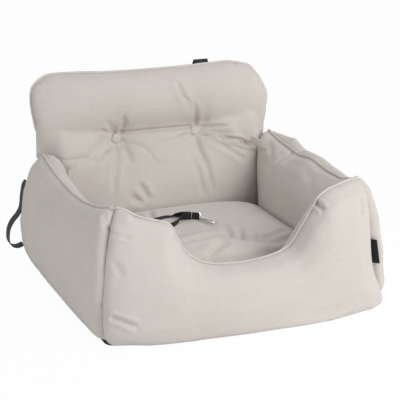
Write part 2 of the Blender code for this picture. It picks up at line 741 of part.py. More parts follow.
def add_tub(looks, piping):
    left = side_shape(LEFT_TOP_SHARES, LEVEL_DOME_SHARES, LEFT_REAR_LEAN, LEFT_REAR_LEAN_POWER)
    right = side_shape(RIGHT_TOP_SHARES, RIGHT_DOME_SHARES, RIGHT_REAR_LEAN, CORNER_POWER)
    for name, side, shape in (("left", -1, left), ("right", 1, right)):
        sections = wall_sections(SIDE_STATION_SHARES, shape)
        place = side_place(side)
        add_stuffed("wall_" + name, sections, place, END_INSET_SHARE, looks)
        planes = (corner_plane(side, -1, 1), corner_plane(side, 1, 1))
        add_piping("piping_" + name, *seam_points(sections, place), piping, planes)
    sections = wall_sections(front_stations(), front_shape())
    add_stuffed("wall_front", sections, front_place, END_INSET_SHARE, looks)
    planes = (corner_plane(-1, -1, -1), corner_plane(1, -1, -1))
    add_piping("piping_front", *seam_points(sections, front_place), piping, planes)


def tuft_pull(x):
    """How strongly the tufts draw the pad in at a place along the fold."""
    reach = min(abs(abs(x) - TUFT_SPACING / 2) / TUFT_REACH, 3)
    return math.exp(-reach * reach / 2)


def backrest_stations(half_width):
    """Places along the backrest, close together round the tufts and at the ends."""
    centre = TUFT_SPACING / 2 / half_width
    spread = TUFT_REACH / half_width
    right = [centre + spread * share for share in TUFT_STATION_SHARES]
    right += list(BACKREST_END_SHARES)
    return [-s for s in reversed(right)] + [0.0] + right


def rear_section(station):
    """The lower half of the backrest, from its foot up to the fold line."""
    full = pinch(station)
    height = FOLD_Z - WALL_FOOT
    pull = tuft_pull(station * (BASE_WIDTH / 2 - FOLD_DRAW_IN)) * LOWER_TUFT_DEPTH
    foot = REAR_INNER_SWELL * mix(REAR_INNER_CORNER_SHARES[0], REAR_INNER_MIDDLE_SHARES[0], full)
    loop = [(slit_edges(foot)[0], WALL_FOOT)]
    rows = zip(REAR_INNER_HEIGHT_SHARES, REAR_INNER_MIDDLE_SHARES, REAR_INNER_CORNER_SHARES,
               LOWER_TUFT_SHARES)
    for share, middle, corner, tuft in rows:
        offset = -REAR_INNER_SWELL * mix(corner, middle, full) + pull * tuft
        loop.append((offset, WALL_FOOT + height * share))
    loop.append((FOLD_Y - BASE_DEPTH / 2, FOLD_Z - FOLD_LIP))
    rows = zip(REAR_OUTER_HEIGHT_SHARES, REAR_OUTER_MIDDLE_SHARES, REAR_OUTER_CORNER_SHARES)
    for share, middle, corner in rows:
        offset = REAR_OUTER_SWELL * mix(corner, middle, full)
        loop.append((offset, WALL_FOOT + height * share))
    loop.append((0, WALL_FOOT))
    loop.append((slit_edges(foot)[1], WALL_FOOT))
    return loop


def rear_place(station, point):
    share = (point[1] - WALL_FOOT) / (FOLD_Z - WALL_FOOT)
    draw_in = FOLD_DRAW_IN * fade((share - REAR_DRAW_START_SHARE) / (1 - REAR_DRAW_START_SHARE))
    reach = BASE_WIDTH / 2 + min(point[0], 0) - CORNER_SEAM_GAP / 2 - draw_in
    return Vector((station * reach, BASE_DEPTH / 2 + point[0], point[1]))


def pad_limits(x):
    """Lowest and highest point of the upper pad's edge at a place across it, above the fold."""
    over = (abs(x) - PAD_FOLD_HALF_WIDTH) / (PAD_HALF_WIDTH - PAD_FOLD_HALF_WIDTH)
    low = FOLD_LIP + (PAD_LEFT_RISE if x < 0 else PAD_RIGHT_RISE) * max(over, 0)
    return low, PAD_HEIGHT * smooth_value(PAD_TOP_SHARES, x / PAD_HALF_WIDTH)


def pad_section(station):
    """The upper half of the backrest as depth behind the fold line and height above it."""
    x = station * PAD_HALF_WIDTH
    low, high = pad_limits(x)
    full = pinch(station)
    flat = pinch(station, PAD_REAR_PINCH_POWER)
    pull = tuft_pull(x) * UPPER_TUFT_DEPTH
    edge = PAD_EDGE_THICKNESS / 2

    def height(share):
        return mix(low, high, share)

    def seam(share):
        return PAD_LEAN * height(share) / PAD_HEIGHT

    front = []
    for (share, swell), tuft in zip(PAD_FRONT_SHARES, UPPER_TUFT_SHARES):
        depth = mix(min(edge, PAD_FRONT_SWELL * swell), PAD_FRONT_SWELL * swell, full)
        front.append((seam(share) - depth + pull * tuft, height(share)))
    rear = []
    for share, swell in PAD_REAR_SHARES:
        rear.append((seam(share) + mix(edge, PAD_REAR_SWELL * swell, flat), height(share)))
    upper, lower = rear[2], rear[3]
    lip_high = Vector(upper).lerp(Vector(lower), PAD_SLIT_SHARES[0])
    lip_low = Vector(upper).lerp(Vector(lower), PAD_SLIT_SHARES[1])
    bottom = (seam(0), height(0))
    top = (seam(1), height(1))
    return ([tuple(lip_low)] + rear[3:] + [bottom] + front + [top] + rear[:3] + [tuple(lip_high)])


def pad_place(station, point):
    return Vector((station * PAD_HALF_WIDTH, FOLD_Y + point[0], FOLD_Z + point[1]))


def add_backrest(looks, piping, pivot):
    stations = backrest_stations(BASE_WIDTH / 2 - FOLD_DRAW_IN)
    sections = [(s, rear_section(s)) for s in stations]
    add_stuffed("backrest_lower", sections, rear_place, END_INSET_SHARE, looks)
    stations = backrest_stations(PAD_HALF_WIDTH)
    sections = [(s, pad_section(s)) for s in stations]
    for thing in add_stuffed("backrest_upper", sections, pad_place, END_INSET_SHARE, looks):
        hang_on(thing, pivot)
    cord = add_piping("piping_backrest", *pad_edge(stations), piping)
    hang_on(cord, pivot)


def pad_edge(stations):
    """The seam round the upper pad, from the fold on the left to the fold on the right."""
    across = [station * PAD_HALF_WIDTH for station in stations]
    ends = [x for x in across if abs(x) > PAD_FOLD_HALF_WIDTH]
    left = [(x, pad_limits(x)[0]) for x in reversed(ends) if x < 0]
    right = [(x, pad_limits(x)[0]) for x in reversed(ends) if x > 0]
    top = [(x, pad_limits(x)[1]) for x in across]
    foot = FOLD_LIP + PIPING_RADIUS
    outline = [(-PAD_FOLD_HALF_WIDTH, foot)] + left + top + right + [(PAD_FOLD_HALF_WIDTH, foot)]
    seam = [Vector((x, FOLD_Y + PAD_LEAN * z / PAD_HEIGHT, FOLD_Z + z)) for x, z in outline]
    centre = Vector((0, FOLD_Y + PAD_LEAN / 2, FOLD_Z + PAD_HEIGHT / 2))
    away = []
    last = len(seam) - 1
    for i, point in enumerate(seam):
        along = seam[min(i + 1, last)] - seam[max(i - 1, 0)]
        away.append(along.cross(Vector((0, 1, 0))) * -1)
        if away[-1].dot(point - centre) < 0:
            away[-1] = away[-1] * -1
    return seam, away


# Buttons

def add_button(name, x, radius, height, front, look):
    """A covered button: a disc with a domed face, drawn against the lower half of the backrest."""
    direction = Vector((0, 1, 0)) if front else Vector((0, -1, 0))
    y = -BASE_DEPTH / 2 if front else BASE_DEPTH
    z = FOLD_Z - TUFT_DROP if front else FOLD_Z - TUFT_DROP - BACK_BUTTON_RADIUS
    rings = []
    for radius_share, height_share in BUTTON_DOME_SHARES:
        ring = round_outline(radius * radius_share, BUTTON_SIDES)
        rings.append([Vector((x + a, y, z + b)) - direction * height * height_share for a, b in ring])
    button = add_filling(name, rings, look)
    return slide_onto(button, [bpy.data.objects["backrest_lower_cover"]], direction)


def add_buttons(look):
    for name, side in (("left", -1), ("right", 1)):
        x = side * TUFT_SPACING / 2
        add_button("button_" + name, x, BUTTON_RADIUS, BUTTON_HEIGHT, True, look)
        add_button("back_button_" + name, x, BACK_BUTTON_RADIUS, BACK_BUTTON_HEIGHT, False, buckle_look())


# Seat cushion

def cushion_top(x, y):
    """Height of the cushion's upper face: a crown with one valley sewn across it."""
    across = min(abs(x) / CUSHION_HALF_WIDTH, 1)
    deep = min(abs(y - CUSHION_MIDDLE) / CUSHION_HALF_DEPTH, 1)
    crown = CUSHION_CROWN * (1 - across ** 4) * (1 - deep ** 4)
    away = (y - CUSHION_VALLEY_Y - CUSHION_VALLEY_SLOPE * x) / CUSHION_VALLEY_REACH
    valley = CUSHION_VALLEY_DEPTH * math.exp(-away * away / 2) * (1 - across ** 4) * (1 - deep ** 4)
    return CUSHION_FOOT + CUSHION_EDGE_HEIGHT * cushion_fullness(x) + crown - valley


def cushion_fullness(x):
    """The cushion is lower at its left and right ends."""
    station = min(abs(x) / CUSHION_HALF_WIDTH, 1)
    return mix(CUSHION_END_SHARE, 1, pinch(station))


def cushion_section(station):
    x = station * CUSHION_HALF_WIDTH
    into_corner = max(abs(x) - (CUSHION_HALF_WIDTH - CUSHION_CORNER_RADIUS), 0)
    drop = CUSHION_CORNER_RADIUS - math.sqrt(max(CUSHION_CORNER_RADIUS ** 2 - into_corner ** 2, 0))
    reach = CUSHION_HALF_DEPTH - drop
    edge = CUSHION_EDGE_HEIGHT * cushion_fullness(x)
    sides = list(zip(CUSHION_SIDE_HEIGHT_SHARES, CUSHION_SIDE_REACH_SHARES))
    front = [(CUSHION_MIDDLE - reach * out, CUSHION_FOOT + edge * up) for up, out in sides]
    rear = [(CUSHION_MIDDLE + reach * out, CUSHION_FOOT + edge * up) for up, out in reversed(sides)]
    top = [(CUSHION_MIDDLE + reach * share, cushion_top(x, CUSHION_MIDDLE + reach * share))
           for share in CUSHION_TOP_SHARES]
    zip_middle = Vector(rear[1]).lerp(Vector(rear[2]), 1 / 2)
    half = Vector((0, CUSHION_SLIT_WIDTH / 2))
    lip_low, lip_high = zip_middle - half, zip_middle + half
    return [tuple(lip_low)] + rear[2:] + front + top + rear[:2] + [tuple(lip_high)]


def cushion_place(station, point):
    return Vector((station * CUSHION_HALF_WIDTH, point[0], point[1]))


def add_cushion(looks):
    sections = [(s, cushion_section(s)) for s in CUSHION_STATION_SHARES]
    add_stuffed("seat_cushion", sections, cushion_place, END_INSET_SHARE, looks)


# Tether and bolt snap

def snap_frame(forwards=0):
    """The snap's own axes: forwards along X, across along Y, upwards along Z."""
    turn = Matrix.Rotation(SNAP_HEADING, 4, "Z") @ Matrix.Rotation(-SNAP_SLOPE, 4, "Y")
    eye_bar = Matrix.Translation((SNAP_X, SNAP_Y, SNAP_Z)) @ turn
    return eye_bar @ Matrix.Translation((EYE_LENGTH + forwards, 0, 0))


def keeper_frame():
    return Matrix.Translation((SNAP_X, SNAP_Y, SNAP_Z)) @ Matrix.Rotation(KEEPER_HEADING, 4, "Z")


def add_strand(name, route, look):
    """One strand of the tether: flat on the cushion, turned on edge where it meets the keeper."""
    points = even_curve([Vector(point) for point in route], TETHER_STEPS)
    ups = []
    last = len(points) - 1
    for i in range(len(points)):
        along = (points[min(i + 1, last)] - points[max(i - 1, 0)]).normalized()
        flat = Vector((-along.y, along.x, 0)).normalized()
        turned = fade((i / last - TETHER_TWIST_START_SHARE) / (1 - TETHER_TWIST_START_SHARE))
        ups.append(flat.lerp(Vector((0, 0, 1)), turned) if turned < 1 else Vector((0, 0, 1)))
    keeper_axis = keeper_frame().to_3x3() @ Vector((1, 0, 0))
    keeper_face = keeper_frame() @ Vector((KEEPER_EYE_MARGIN - KEEPER_LENGTH - CLEARANCE, 0, 0))
    return sweep(name, points, flat_outline(TETHER_WIDTH, WEBBING_THICKNESS), look, ups,
                 (points[0], Vector((1, 0, 0))), (keeper_face, keeper_axis))


def add_keeper(look):
    place = keeper_frame()
    front = KEEPER_EYE_MARGIN
    keeper = add_box("tether_keeper", (front - KEEPER_LENGTH, -KEEPER_THICKNESS / 2, -KEEPER_HEIGHT / 2),
                     (front, KEEPER_THICKNESS / 2, KEEPER_HEIGHT / 2), look)
    keeper.data.transform(place)
    hole = EYE_WIRE + CLEARANCE
    ends = [place @ Vector((0, 0, -KEEPER_HEIGHT)), place @ Vector((0, 0, KEEPER_HEIGHT))]
    bore = sweep("keeper_bore", ends, round_outline(hole / math.cos(math.pi / WIRE_SIDES), WIRE_SIDES), look,
                 [Vector((0, 1, 0))] * 2)
    combine(keeper, bore, "DIFFERENCE")
    return keeper


def add_snap_eye(look):
    """A bent wire through the keeper, closed by the barrel and the swivel pin."""
    place = snap_frame()
    stem = BARREL_LENGTH / 2
    high = EYE_HALF_HEIGHT
    half = [(stem, EYE_STEM_GAP), (-EYE_WIRE, EYE_STEM_GAP + EYE_WIRE), (-EYE_LENGTH / 2, high),
            (-EYE_LENGTH + EYE_WIRE, high), (-EYE_LENGTH, high - EYE_WIRE)]
    path = half + [(along, -up) for along, up in reversed(half)]
    points = [place @ Vector((along, 0, up)) for along, up in path]
    across = (place.to_3x3() @ Vector((0, 1, 0)))
    eye = sweep("snap_eye", points, round_outline(EYE_WIRE, WIRE_SIDES), look, [across] * len(points))
    pin_end = BARREL_LENGTH + PIN_LENGTH
    barrel = revolve("eye_barrel", [(0, 0), (0, BARREL_RADIUS), (BARREL_LENGTH, BARREL_RADIUS),
                                    (BARREL_LENGTH, PIN_RADIUS), (pin_end, PIN_RADIUS), (pin_end, 0)],
                     place, look)
    combine(eye, barrel, "UNION")
    return eye


def snap_body_lengths():
    start = BARREL_LENGTH + CLEARANCE
    socket_end = start + SOCKET_LENGTH
    housing_end = socket_end + HOUSING_LENGTH
    bore_start = socket_end + BOLT_WALL
    return start, socket_end, housing_end, bore_start


def bolt_frame():
    """The bolt's axis lies beside the swivel's, so that the hook's eye is in line with the strap."""
    return snap_frame() @ Matrix.Translation((0, BOLT_OFFSET, 0))


def add_snap_body(look):
    """Socket, bolt housing and hook of the snap."""
    place = snap_frame()
    beside = bolt_frame()
    start, socket_end, housing_end, bore_start = snap_body_lengths()
    pin_hole_end = BARREL_LENGTH + PIN_LENGTH + CLEARANCE
    pin_hole = PIN_RADIUS / math.cos(math.pi / SNAP_SIDES) + CLEARANCE
    bore = BOLT_RADIUS / math.cos(math.pi / SNAP_SIDES) + CLEARANCE
    overlap = (socket_end - pin_hole_end) / 2
    body = revolve("snap_body", [(pin_hole_end, 0), (pin_hole_end, pin_hole), (start, pin_hole),
                                 (start, SOCKET_RADIUS), (socket_end, SOCKET_RADIUS), (socket_end, 0)],
                   place, look)
    housing = revolve("bolt_housing", [(socket_end - overlap, 0), (socket_end - overlap, HOUSING_RADIUS),
                                       (housing_end, HOUSING_RADIUS), (housing_end, bore), (bore_start, bore),
                                       (bore_start, 0)], beside, look)
    combine(body, housing, "UNION")
    side = -HOOK_REACH
    tip = HOOK_LENGTH - HOOK_WIRE
    bend = 2 * HOOK_WIRE
    chord = bend * (1 - COS_45)
    path = [(socket_end - overlap, -SOCKET_RADIUS + HOOK_WIRE), (socket_end + HOOK_REACH / 2, side * 3 / 4),
            (housing_end - HOOK_WIRE, side), (tip - bend, side), (tip - chord, side + chord),
            (tip, side + bend), (tip, BOLT_OFFSET + HOOK_WIRE)]
    upwards = place.to_3x3() @ Vector((0, 0, 1))
    points = [place @ Vector((along, across, 0)) for along, across in path]
    hook = sweep("snap_hook", points, round_outline(HOOK_WIRE, WIRE_SIDES), look, [upwards] * len(points))
    combine(body, hook, "UNION")
    lever_half = LEVER_THICKNESS / 2 + CLEARANCE
    slot = add_box("lever_slot", (bore_start + CLEARANCE, 0, -lever_half),
                   (housing_end + OVERRUN, HOUSING_RADIUS + OVERRUN, lever_half), look)
    slot.data.transform(beside)
    combine(body, slot, "DIFFERENCE")
    return body


def add_snap_bolt(look):
    """The sliding bolt that closes the hook, with its thumb lever."""
    beside = bolt_frame()
    bore_start = snap_body_lengths()[3]
    tip = HOOK_LENGTH - 2 * HOOK_WIRE - CLEARANCE
    back = tip - BOLT_LENGTH
    bolt = revolve("snap_bolt", [(back, 0), (back, BOLT_RADIUS), (tip, BOLT_RADIUS), (tip, 0)], beside, look)
    lever_start = bore_start + BOLT_TRAVEL + 2 * CLEARANCE
    lever = add_box("snap_lever", (lever_start, BOLT_RADIUS / 2, -LEVER_THICKNESS / 2),
                    (lever_start + LEVER_LENGTH, LEVER_HEIGHT, LEVER_THICKNESS / 2), look)
    lever.data.transform(beside)
    combine(bolt, lever, "UNION")
    return bolt


def add_tether(webbing, metal):
    end = Vector(TETHER_ROUTE_BACK[0])
    half = ANCHOR_SIZE / 2
    anchor = add_box("tether_anchor", (end.x - CLEARANCE - ANCHOR_DEPTH, end.y - half, end.z - half),
                     (end.x - CLEARANCE, end.y + half, end.z + half), webbing)
    add_strand("tether_strand_back", TETHER_ROUTE_BACK, webbing)
    add_strand("tether_strand_front", TETHER_ROUTE_FRONT, webbing)
    add_keeper(webbing)
    add_snap_eye(metal)
    swivel = add_pivot("snap_swivel", snap_frame().translation)
    hang_on(add_snap_body(metal), swivel)
    hang_on(add_snap_bolt(metal), swivel)


# Straps and tabs

def add_belt_loop(look):
    points = even_curve([Vector(point) for point in LOOP_ROUTE], LOOP_STEPS)
    ups = [Vector((0, 1, 0))] * len(points)
    return sweep("belt_loop", points, flat_outline(LOOP_WIDTH, WEBBING_THICKNESS), look, ups)


def add_headrest_strap(pivot, webbing, plastic):
    """A strap sewn to the top seam of the pad, its buckle and the short strap that holds it."""
    cover = bpy.data.objects["backrest_upper_cover"]
    x = STRAP_X
    half_width = BUCKLE_WIDTH / 2
    low = FOLD_Z + BUCKLE_BOTTOM
    y = FOLD_Y + PAD_LEAN + PAD_REAR_SWELL
    wall = (BUCKLE_THICKNESS - PRONG_THICKNESS) / 2
    female = add_box("buckle_female", (x - half_width, y, low),
                     (x + half_width, y + BUCKLE_THICKNESS, low + FEMALE_HEIGHT), plastic)
    room_half = PRONG_WIDTH / 2 + CLEARANCE
    top = low + FEMALE_HEIGHT
    room = add_box("buckle_room", (x - room_half, y + wall - CLEARANCE, top - PRONG_LENGTH - CLEARANCE),
                   (x + room_half, y + BUCKLE_THICKNESS - wall + CLEARANCE, top + OVERRUN), plastic)
    combine(female, room, "DIFFERENCE")
    male_low = top + CLEARANCE
    male = add_box("buckle_male", (x - half_width, y, male_low),
                   (x + half_width, y + BUCKLE_THICKNESS, male_low + MALE_HEIGHT), plastic)
    prong = add_box("buckle_prong", (x - PRONG_WIDTH / 2, y + wall, top - PRONG_LENGTH),
                    (x + PRONG_WIDTH / 2, y + BUCKLE_THICKNESS - wall, male_low + OVERRUN), plastic)
    combine(male, prong, "UNION")
    before = female.data.vertices[0].co.y
    slide_onto(female, [cover], Vector((0, -1, 0)))
    shift = Vector((0, female.data.vertices[0].co.y - before, 0))
    male.data.transform(Matrix.Translation(shift))
    half_strap = STRAP_WIDTH / 2
    patch = add_box("buckle_strap", (x - half_strap, y, low - CLEARANCE - BUCKLE_STRAP_LENGTH),
                    (x + half_strap, y + WEBBING_THICKNESS, low - CLEARANCE), webbing)
    slide_onto(patch, [cover], Vector((0, -1, 0)))
    tail_y = y + shift.y + BUCKLE_THICKNESS / 2
    top_seam = pad_limits(x)[1]
    seam = Vector((x, FOLD_Y + PAD_LEAN * top_seam / PAD_HEIGHT, FOLD_Z + top_seam))
    start = seam + Vector((0, 2 * PIPING_RADIUS + WEBBING_THICKNESS, 0))
    crest = seam.z + STRAP_RISE
    turn = STRAP_SPAN / 2
    fall = turn * (1 - COS_45)
    over = [start, Vector((x, start.y, crest - turn)), Vector((x, start.y + fall, crest - fall)),
            Vector((x, start.y + turn, crest)), Vector((x, start.y + STRAP_SPAN - fall, crest - fall)),
            Vector((x, start.y + STRAP_SPAN, crest - turn))]
    across = Vector((1, 0, 0))
    outline = flat_outline(STRAP_WIDTH, WEBBING_THICKNESS)
    loop = sweep("headrest_strap", over, outline, webbing, [across] * len(over))
    join = over[-1] - Vector((0, 0, CLEARANCE))
    tail_end = Vector((x, tail_y, male_low + MALE_HEIGHT + CLEARANCE))
    bend = Vector((x, mix(join.y, tail_y, TAIL_BEND_SHARES[0]), mix(join.z, tail_end.z, TAIL_BEND_SHARES[1])))
    tail = even_curve([join, bend, tail_end + Vector((0, 0, turn)), tail_end], TAIL_STEPS)
    strap = sweep("buckle_tail", tail, outline, webbing, [across] * len(tail))
    for thing in (female, male, patch, loop, strap):
        hang_on(thing, pivot)


def add_side_tag(look):
    """A plain tag sewn into the right front corner seam."""
    outwards = Vector((1, -1, 0)).normalized()
    across = Vector((1, 1, 0)).normalized() * TAG_THICKNESS / 2
    corner = Vector((BASE_WIDTH / 2, -BASE_DEPTH / 2, 0))
    ring_pairs = []
    for z in (TAG_BOTTOM, TAG_BOTTOM + TAG_LENGTH):
        share = (z - WALL_FOOT) / (WALL_HEIGHT - WALL_FOOT)
        lean = FRONT_CORNER_LEAN * math.sqrt(2) * share ** CORNER_POWER
        inner = corner + outwards * (TAG_START - lean) + Vector((0, 0, z))
        outer = inner + outwards * TAG_WIDTH
        ring_pairs.append([inner - across, outer - across, outer + across, inner + across])
    return add_filling("side_tag", ring_pairs, look)


def add_corner_tab(name, side, drop, look):
    """A short strap that spans the corner between a side wall and the backrest."""
    tab = add_box(name, (-TAB_LENGTH / 2, 0, -TAB_WIDTH / 2),
                  (TAB_LENGTH / 2, TAB_THICKNESS, TAB_WIDTH / 2), look)
    turn = Matrix.Rotation(-side * TAB_TURN, 4, "Z") @ Matrix.Rotation(side * TAB_TILT, 4, "Y")
    tab.data.transform(Matrix.Translation((side * TAB_X, TAB_Y - TAB_LENGTH, WALL_HEIGHT - drop)) @ turn)
    wall = bpy.data.objects["wall_left_cover" if side < 0 else "wall_right_cover"]
    backrest = bpy.data.objects["backrest_lower_cover"]
    corner = Vector((side, 1, 0)).normalized()
    return slide_onto(tab, [wall, backrest], corner)


def main():
    clear_scene()
    looks = (linen_look(), filling_look())
    piping = piping_look()
    webbing = webbing_look()
    add_base()
    add_tub(looks, piping)
    fold = add_pivot("backrest_fold", Vector((0, FOLD_Y, FOLD_Z)))
    add_backrest(looks, piping, fold)
    add_buttons(looks[0])
    add_cushion(looks)
    add_tether(webbing, snap_look())
    add_belt_loop(webbing)
    bpy.context.view_layer.update()
    add_headrest_strap(fold, webbing, buckle_look())
    add_side_tag(webbing)
    add_corner_tab("corner_tab_left", -1, TAB_LEFT_DROP, looks[0])
    add_corner_tab("corner_tab_right", 1, TAB_RIGHT_DROP, looks[0])


main()
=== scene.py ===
"""Looks of the dog car seat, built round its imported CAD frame. Metres, +Z up, front towards -Y."""
import math

import bmesh
import bpy
import numpy as np
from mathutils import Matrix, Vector
from mathutils.bvhtree import BVHTree


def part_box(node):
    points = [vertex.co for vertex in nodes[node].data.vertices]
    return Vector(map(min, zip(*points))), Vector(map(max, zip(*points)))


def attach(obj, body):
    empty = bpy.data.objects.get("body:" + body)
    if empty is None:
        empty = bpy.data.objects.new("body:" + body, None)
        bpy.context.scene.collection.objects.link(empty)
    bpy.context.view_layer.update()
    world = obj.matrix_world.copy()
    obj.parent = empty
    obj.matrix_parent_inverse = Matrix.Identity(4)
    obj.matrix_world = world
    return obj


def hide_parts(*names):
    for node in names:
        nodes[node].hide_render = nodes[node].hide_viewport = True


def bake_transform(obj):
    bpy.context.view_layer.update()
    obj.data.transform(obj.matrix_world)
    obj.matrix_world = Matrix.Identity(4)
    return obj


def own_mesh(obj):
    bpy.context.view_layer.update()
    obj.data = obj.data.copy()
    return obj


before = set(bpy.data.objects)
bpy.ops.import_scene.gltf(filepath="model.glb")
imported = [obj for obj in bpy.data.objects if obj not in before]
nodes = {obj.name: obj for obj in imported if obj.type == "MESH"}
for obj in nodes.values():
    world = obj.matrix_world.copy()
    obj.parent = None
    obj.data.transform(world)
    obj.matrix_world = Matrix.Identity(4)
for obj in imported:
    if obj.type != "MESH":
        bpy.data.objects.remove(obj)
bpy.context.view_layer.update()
scene = bpy.context.scene

# Camera

# PICTURE, FOCAL and the two shifts are in pixels of the square reference picture, SENSOR and LENS in
# millimetres.
PICTURE = 400
FOCAL = 1347
SHIFT_U, SHIFT_V = 2.0, -3.2
SENSOR = 36
LENS = FOCAL / PICTURE * SENSOR
AZIMUTH = math.radians(-22.4)
ELEVATION = math.radians(17.5)
DISTANCE = 2.6
TARGET = Vector((0, -0.0065, 0.18))
CLIP_START, CLIP_END = 0.1, 50


def add_camera():
    data = bpy.data.cameras.new("camera")
    camera = bpy.data.objects.new("camera", data)
    scene.collection.objects.link(camera)
    away = Vector((math.sin(AZIMUTH) * math.cos(ELEVATION), -math.cos(AZIMUTH) * math.cos(ELEVATION),
                   math.sin(ELEVATION)))
    camera.location = TARGET + away * DISTANCE
    camera.rotation_mode = "QUATERNION"
    camera.rotation_quaternion = (-away).to_track_quat("-Z", "Y")
    data.sensor_width = SENSOR
    data.lens = LENS
    data.shift_x = SHIFT_U / PICTURE
    data.shift_y = SHIFT_V / PICTURE
    data.clip_start = CLIP_START
    data.clip_end = CLIP_END
    scene.camera = camera
    bpy.context.view_layer.update()
    return camera


camera = add_camera()
EYE = camera.location.copy()
TURN = camera.rotation_quaternion.to_matrix()


def sight(u, v):
    """Direction from the camera through pixel (u, v) of the reference picture."""
    x = (u - PICTURE / 2) / FOCAL + SHIFT_U / PICTURE * SENSOR / LENS
    y = (PICTURE / 2 - v) / FOCAL + SHIFT_V / PICTURE * SENSOR / LENS
    return (TURN @ Vector((x, y, -1))).normalized()


# Materials
def new_material(name):
    material = bpy.data.materials.new(name)
    material.use_nodes = True
    tree = material.node_tree
    shader = tree.nodes["Principled BSDF"]
    return material, tree, shader


def ramp(tree, source, stops):
    """Colours by the value of source; each stop is a place and its colour."""
    node = tree.nodes.new("ShaderNodeValToRGB")
    elements = node.color_ramp.elements
    while len(elements) < len(stops):
        elements.new(0.5)
    for element, (place, colour) in zip(elements, stops):
        element.position = place
        element.color = (*colour, 1)
    tree.links.new(source, node.inputs[0])
    return node.outputs[0]


def greys(tree, source, *stops):
    """The same with plain values, for a roughness."""
    return ramp(tree, source, [(place, (value,) * 3) for place, value in stops])


def noise(tree, vector, scale, detail=3.0, roughness=0.5):
    node = tree.nodes.new("ShaderNodeTexNoise")
    node.inputs["Scale"].default_value = scale
    node.inputs["Detail"].default_value = detail
    node.inputs["Roughness"].default_value = roughness
    tree.links.new(vector, node.inputs["Vector"])
    return node.outputs["Fac"]


def stretched(tree, scale=(1, 1, 1)):
    """Object coordinates times scale."""
    place = tree.nodes.new("ShaderNodeTexCoord")
    mapping = tree.nodes.new("ShaderNodeMapping")
    mapping.inputs["Scale"].default_value = scale
    tree.links.new(place.outputs["Object"], mapping.inputs["Vector"])
    return mapping.outputs[0]


def math_node(tree, operation, first, second):
    node = tree.nodes.new("ShaderNodeMath")
    node.operation = operation
    for socket, value in zip(node.inputs, (first, second)):
        if isinstance(value, (int, float)):
            socket.default_value = value
        else:
            tree.links.new(value, socket)
    return node.outputs[0]


def weighted(tree, *terms):
    """The sum of some sources, each times its share."""
    parts = [math_node(tree, "MULTIPLY", source, share) for source, share in terms]
    total = parts.pop()
    while parts:
        total = math_node(tree, "ADD", parts.pop(), total)
    return total


def wave(tree, vector, scale, distortion):
    node = tree.nodes.new("ShaderNodeTexWave")
    node.wave_type = "BANDS"
    node.bands_direction = "DIAGONAL"
    node.wave_profile = "SIN"
    node.inputs["Scale"].default_value = scale
    node.inputs["Distortion"].default_value = distortion
    node.inputs["Detail"].default_value = 1.0
    node.inputs["Detail Scale"].default_value = 1.5
    tree.links.new(vector, node.inputs["Vector"])
    return node.outputs["Fac"]


def bump(tree, shader, height, strength, distance):
    node = tree.nodes.new("ShaderNodeBump")
    node.inputs["Strength"].default_value = strength
    node.inputs["Distance"].default_value = distance
    tree.links.new(height, node.inputs["Height"])
    tree.links.new(node.outputs[0], shader.inputs["Normal"])


def linen(name, dark, pale, yarns=1300.0):
    """Woven upholstery cloth: slubby yarns both ways, mottled greige, with a soft sheen."""
    material, tree, shader = new_material(name)
    plain = stretched(tree)
    cloud = noise(tree, plain, 9.0, 4.0, 0.55)
    across = noise(tree, stretched(tree, (1.0, 1.0, 9.0)), yarns * 0.17, 3.0, 0.65)
    along = noise(tree, stretched(tree, (7.0, 7.0, 0.8)), yarns * 0.17, 3.0, 0.65)
    fleck = noise(tree, plain, yarns * 0.5, 2.0, 0.7)
    slub = noise(tree, stretched(tree, (1.0, 1.0, 14.0)), 62.0, 2.0, 0.6)
    yarn = weighted(tree, (across, 0.5), (along, 0.5))
    tone = weighted(tree, (yarn, 0.50), (cloud, 0.20), (fleck, 0.12), (slub, 0.18))
    middle = tuple((a + b) / 2 for a, b in zip(dark, pale))
    tree.links.new(ramp(tree, tone, ((0.30, dark), (0.50, middle), (0.70, pale))), shader.inputs["Base Color"])
    tree.links.new(greys(tree, yarn, (0.3, 0.80), (0.7, 0.95)), shader.inputs["Roughness"])
    shader.inputs["Specular IOR Level"].default_value = 0.25
    shader.inputs["Sheen Weight"].default_value = 0.25
    shader.inputs["Sheen Roughness"].default_value = 0.5
    bump(tree, shader, weighted(tree, (yarn, 0.7), (fleck, 0.3)), 0.55, 0.0012)
    return material


def webbing(name, dark, pale):
    """Woven polypropylene tape: fine ribs with a little shine."""
    material, tree, shader = new_material(name)
    plain = stretched(tree)
    ribs = wave(tree, plain, 260.0, 0.6)
    twill = wave(tree, stretched(tree, (1, -1, 1)), 260.0, 0.6)
    weave = math_node(tree, "MULTIPLY", ribs, twill)
    fuzz = noise(tree, plain, 900.0, 2.0, 0.6)
    tone = weighted(tree, (weave, 0.7), (fuzz, 0.3))
    tree.links.new(ramp(tree, tone, ((0.1, dark), (0.9, pale))), shader.inputs["Base Color"])
    tree.links.new(greys(tree, tone, (0.1, 0.75), (0.9, 0.5)), shader.inputs["Roughness"])
    shader.inputs["Specular IOR Level"].default_value = 0.35
    bump(tree, shader, tone, 0.6, 0.0006)
    return material


def moulded(name, dark, pale):
    """Acetal buckle plastic: fine spark texture."""
    material, tree, shader = new_material(name)
    plain = stretched(tree)
    grain = noise(tree, plain, 1500.0, 2.0, 0.6)
    cloud = noise(tree, plain, 40.0, 2.0, 0.5)
    tree.links.new(ramp(tree, cloud, ((0.3, dark), (0.7, pale))), shader.inputs["Base Color"])
    tree.links.new(greys(tree, cloud, (0.3, 0.38), (0.7, 0.5)), shader.inputs["Roughness"])
    bump(tree, shader, grain, 0.25, 0.0003)
    return material


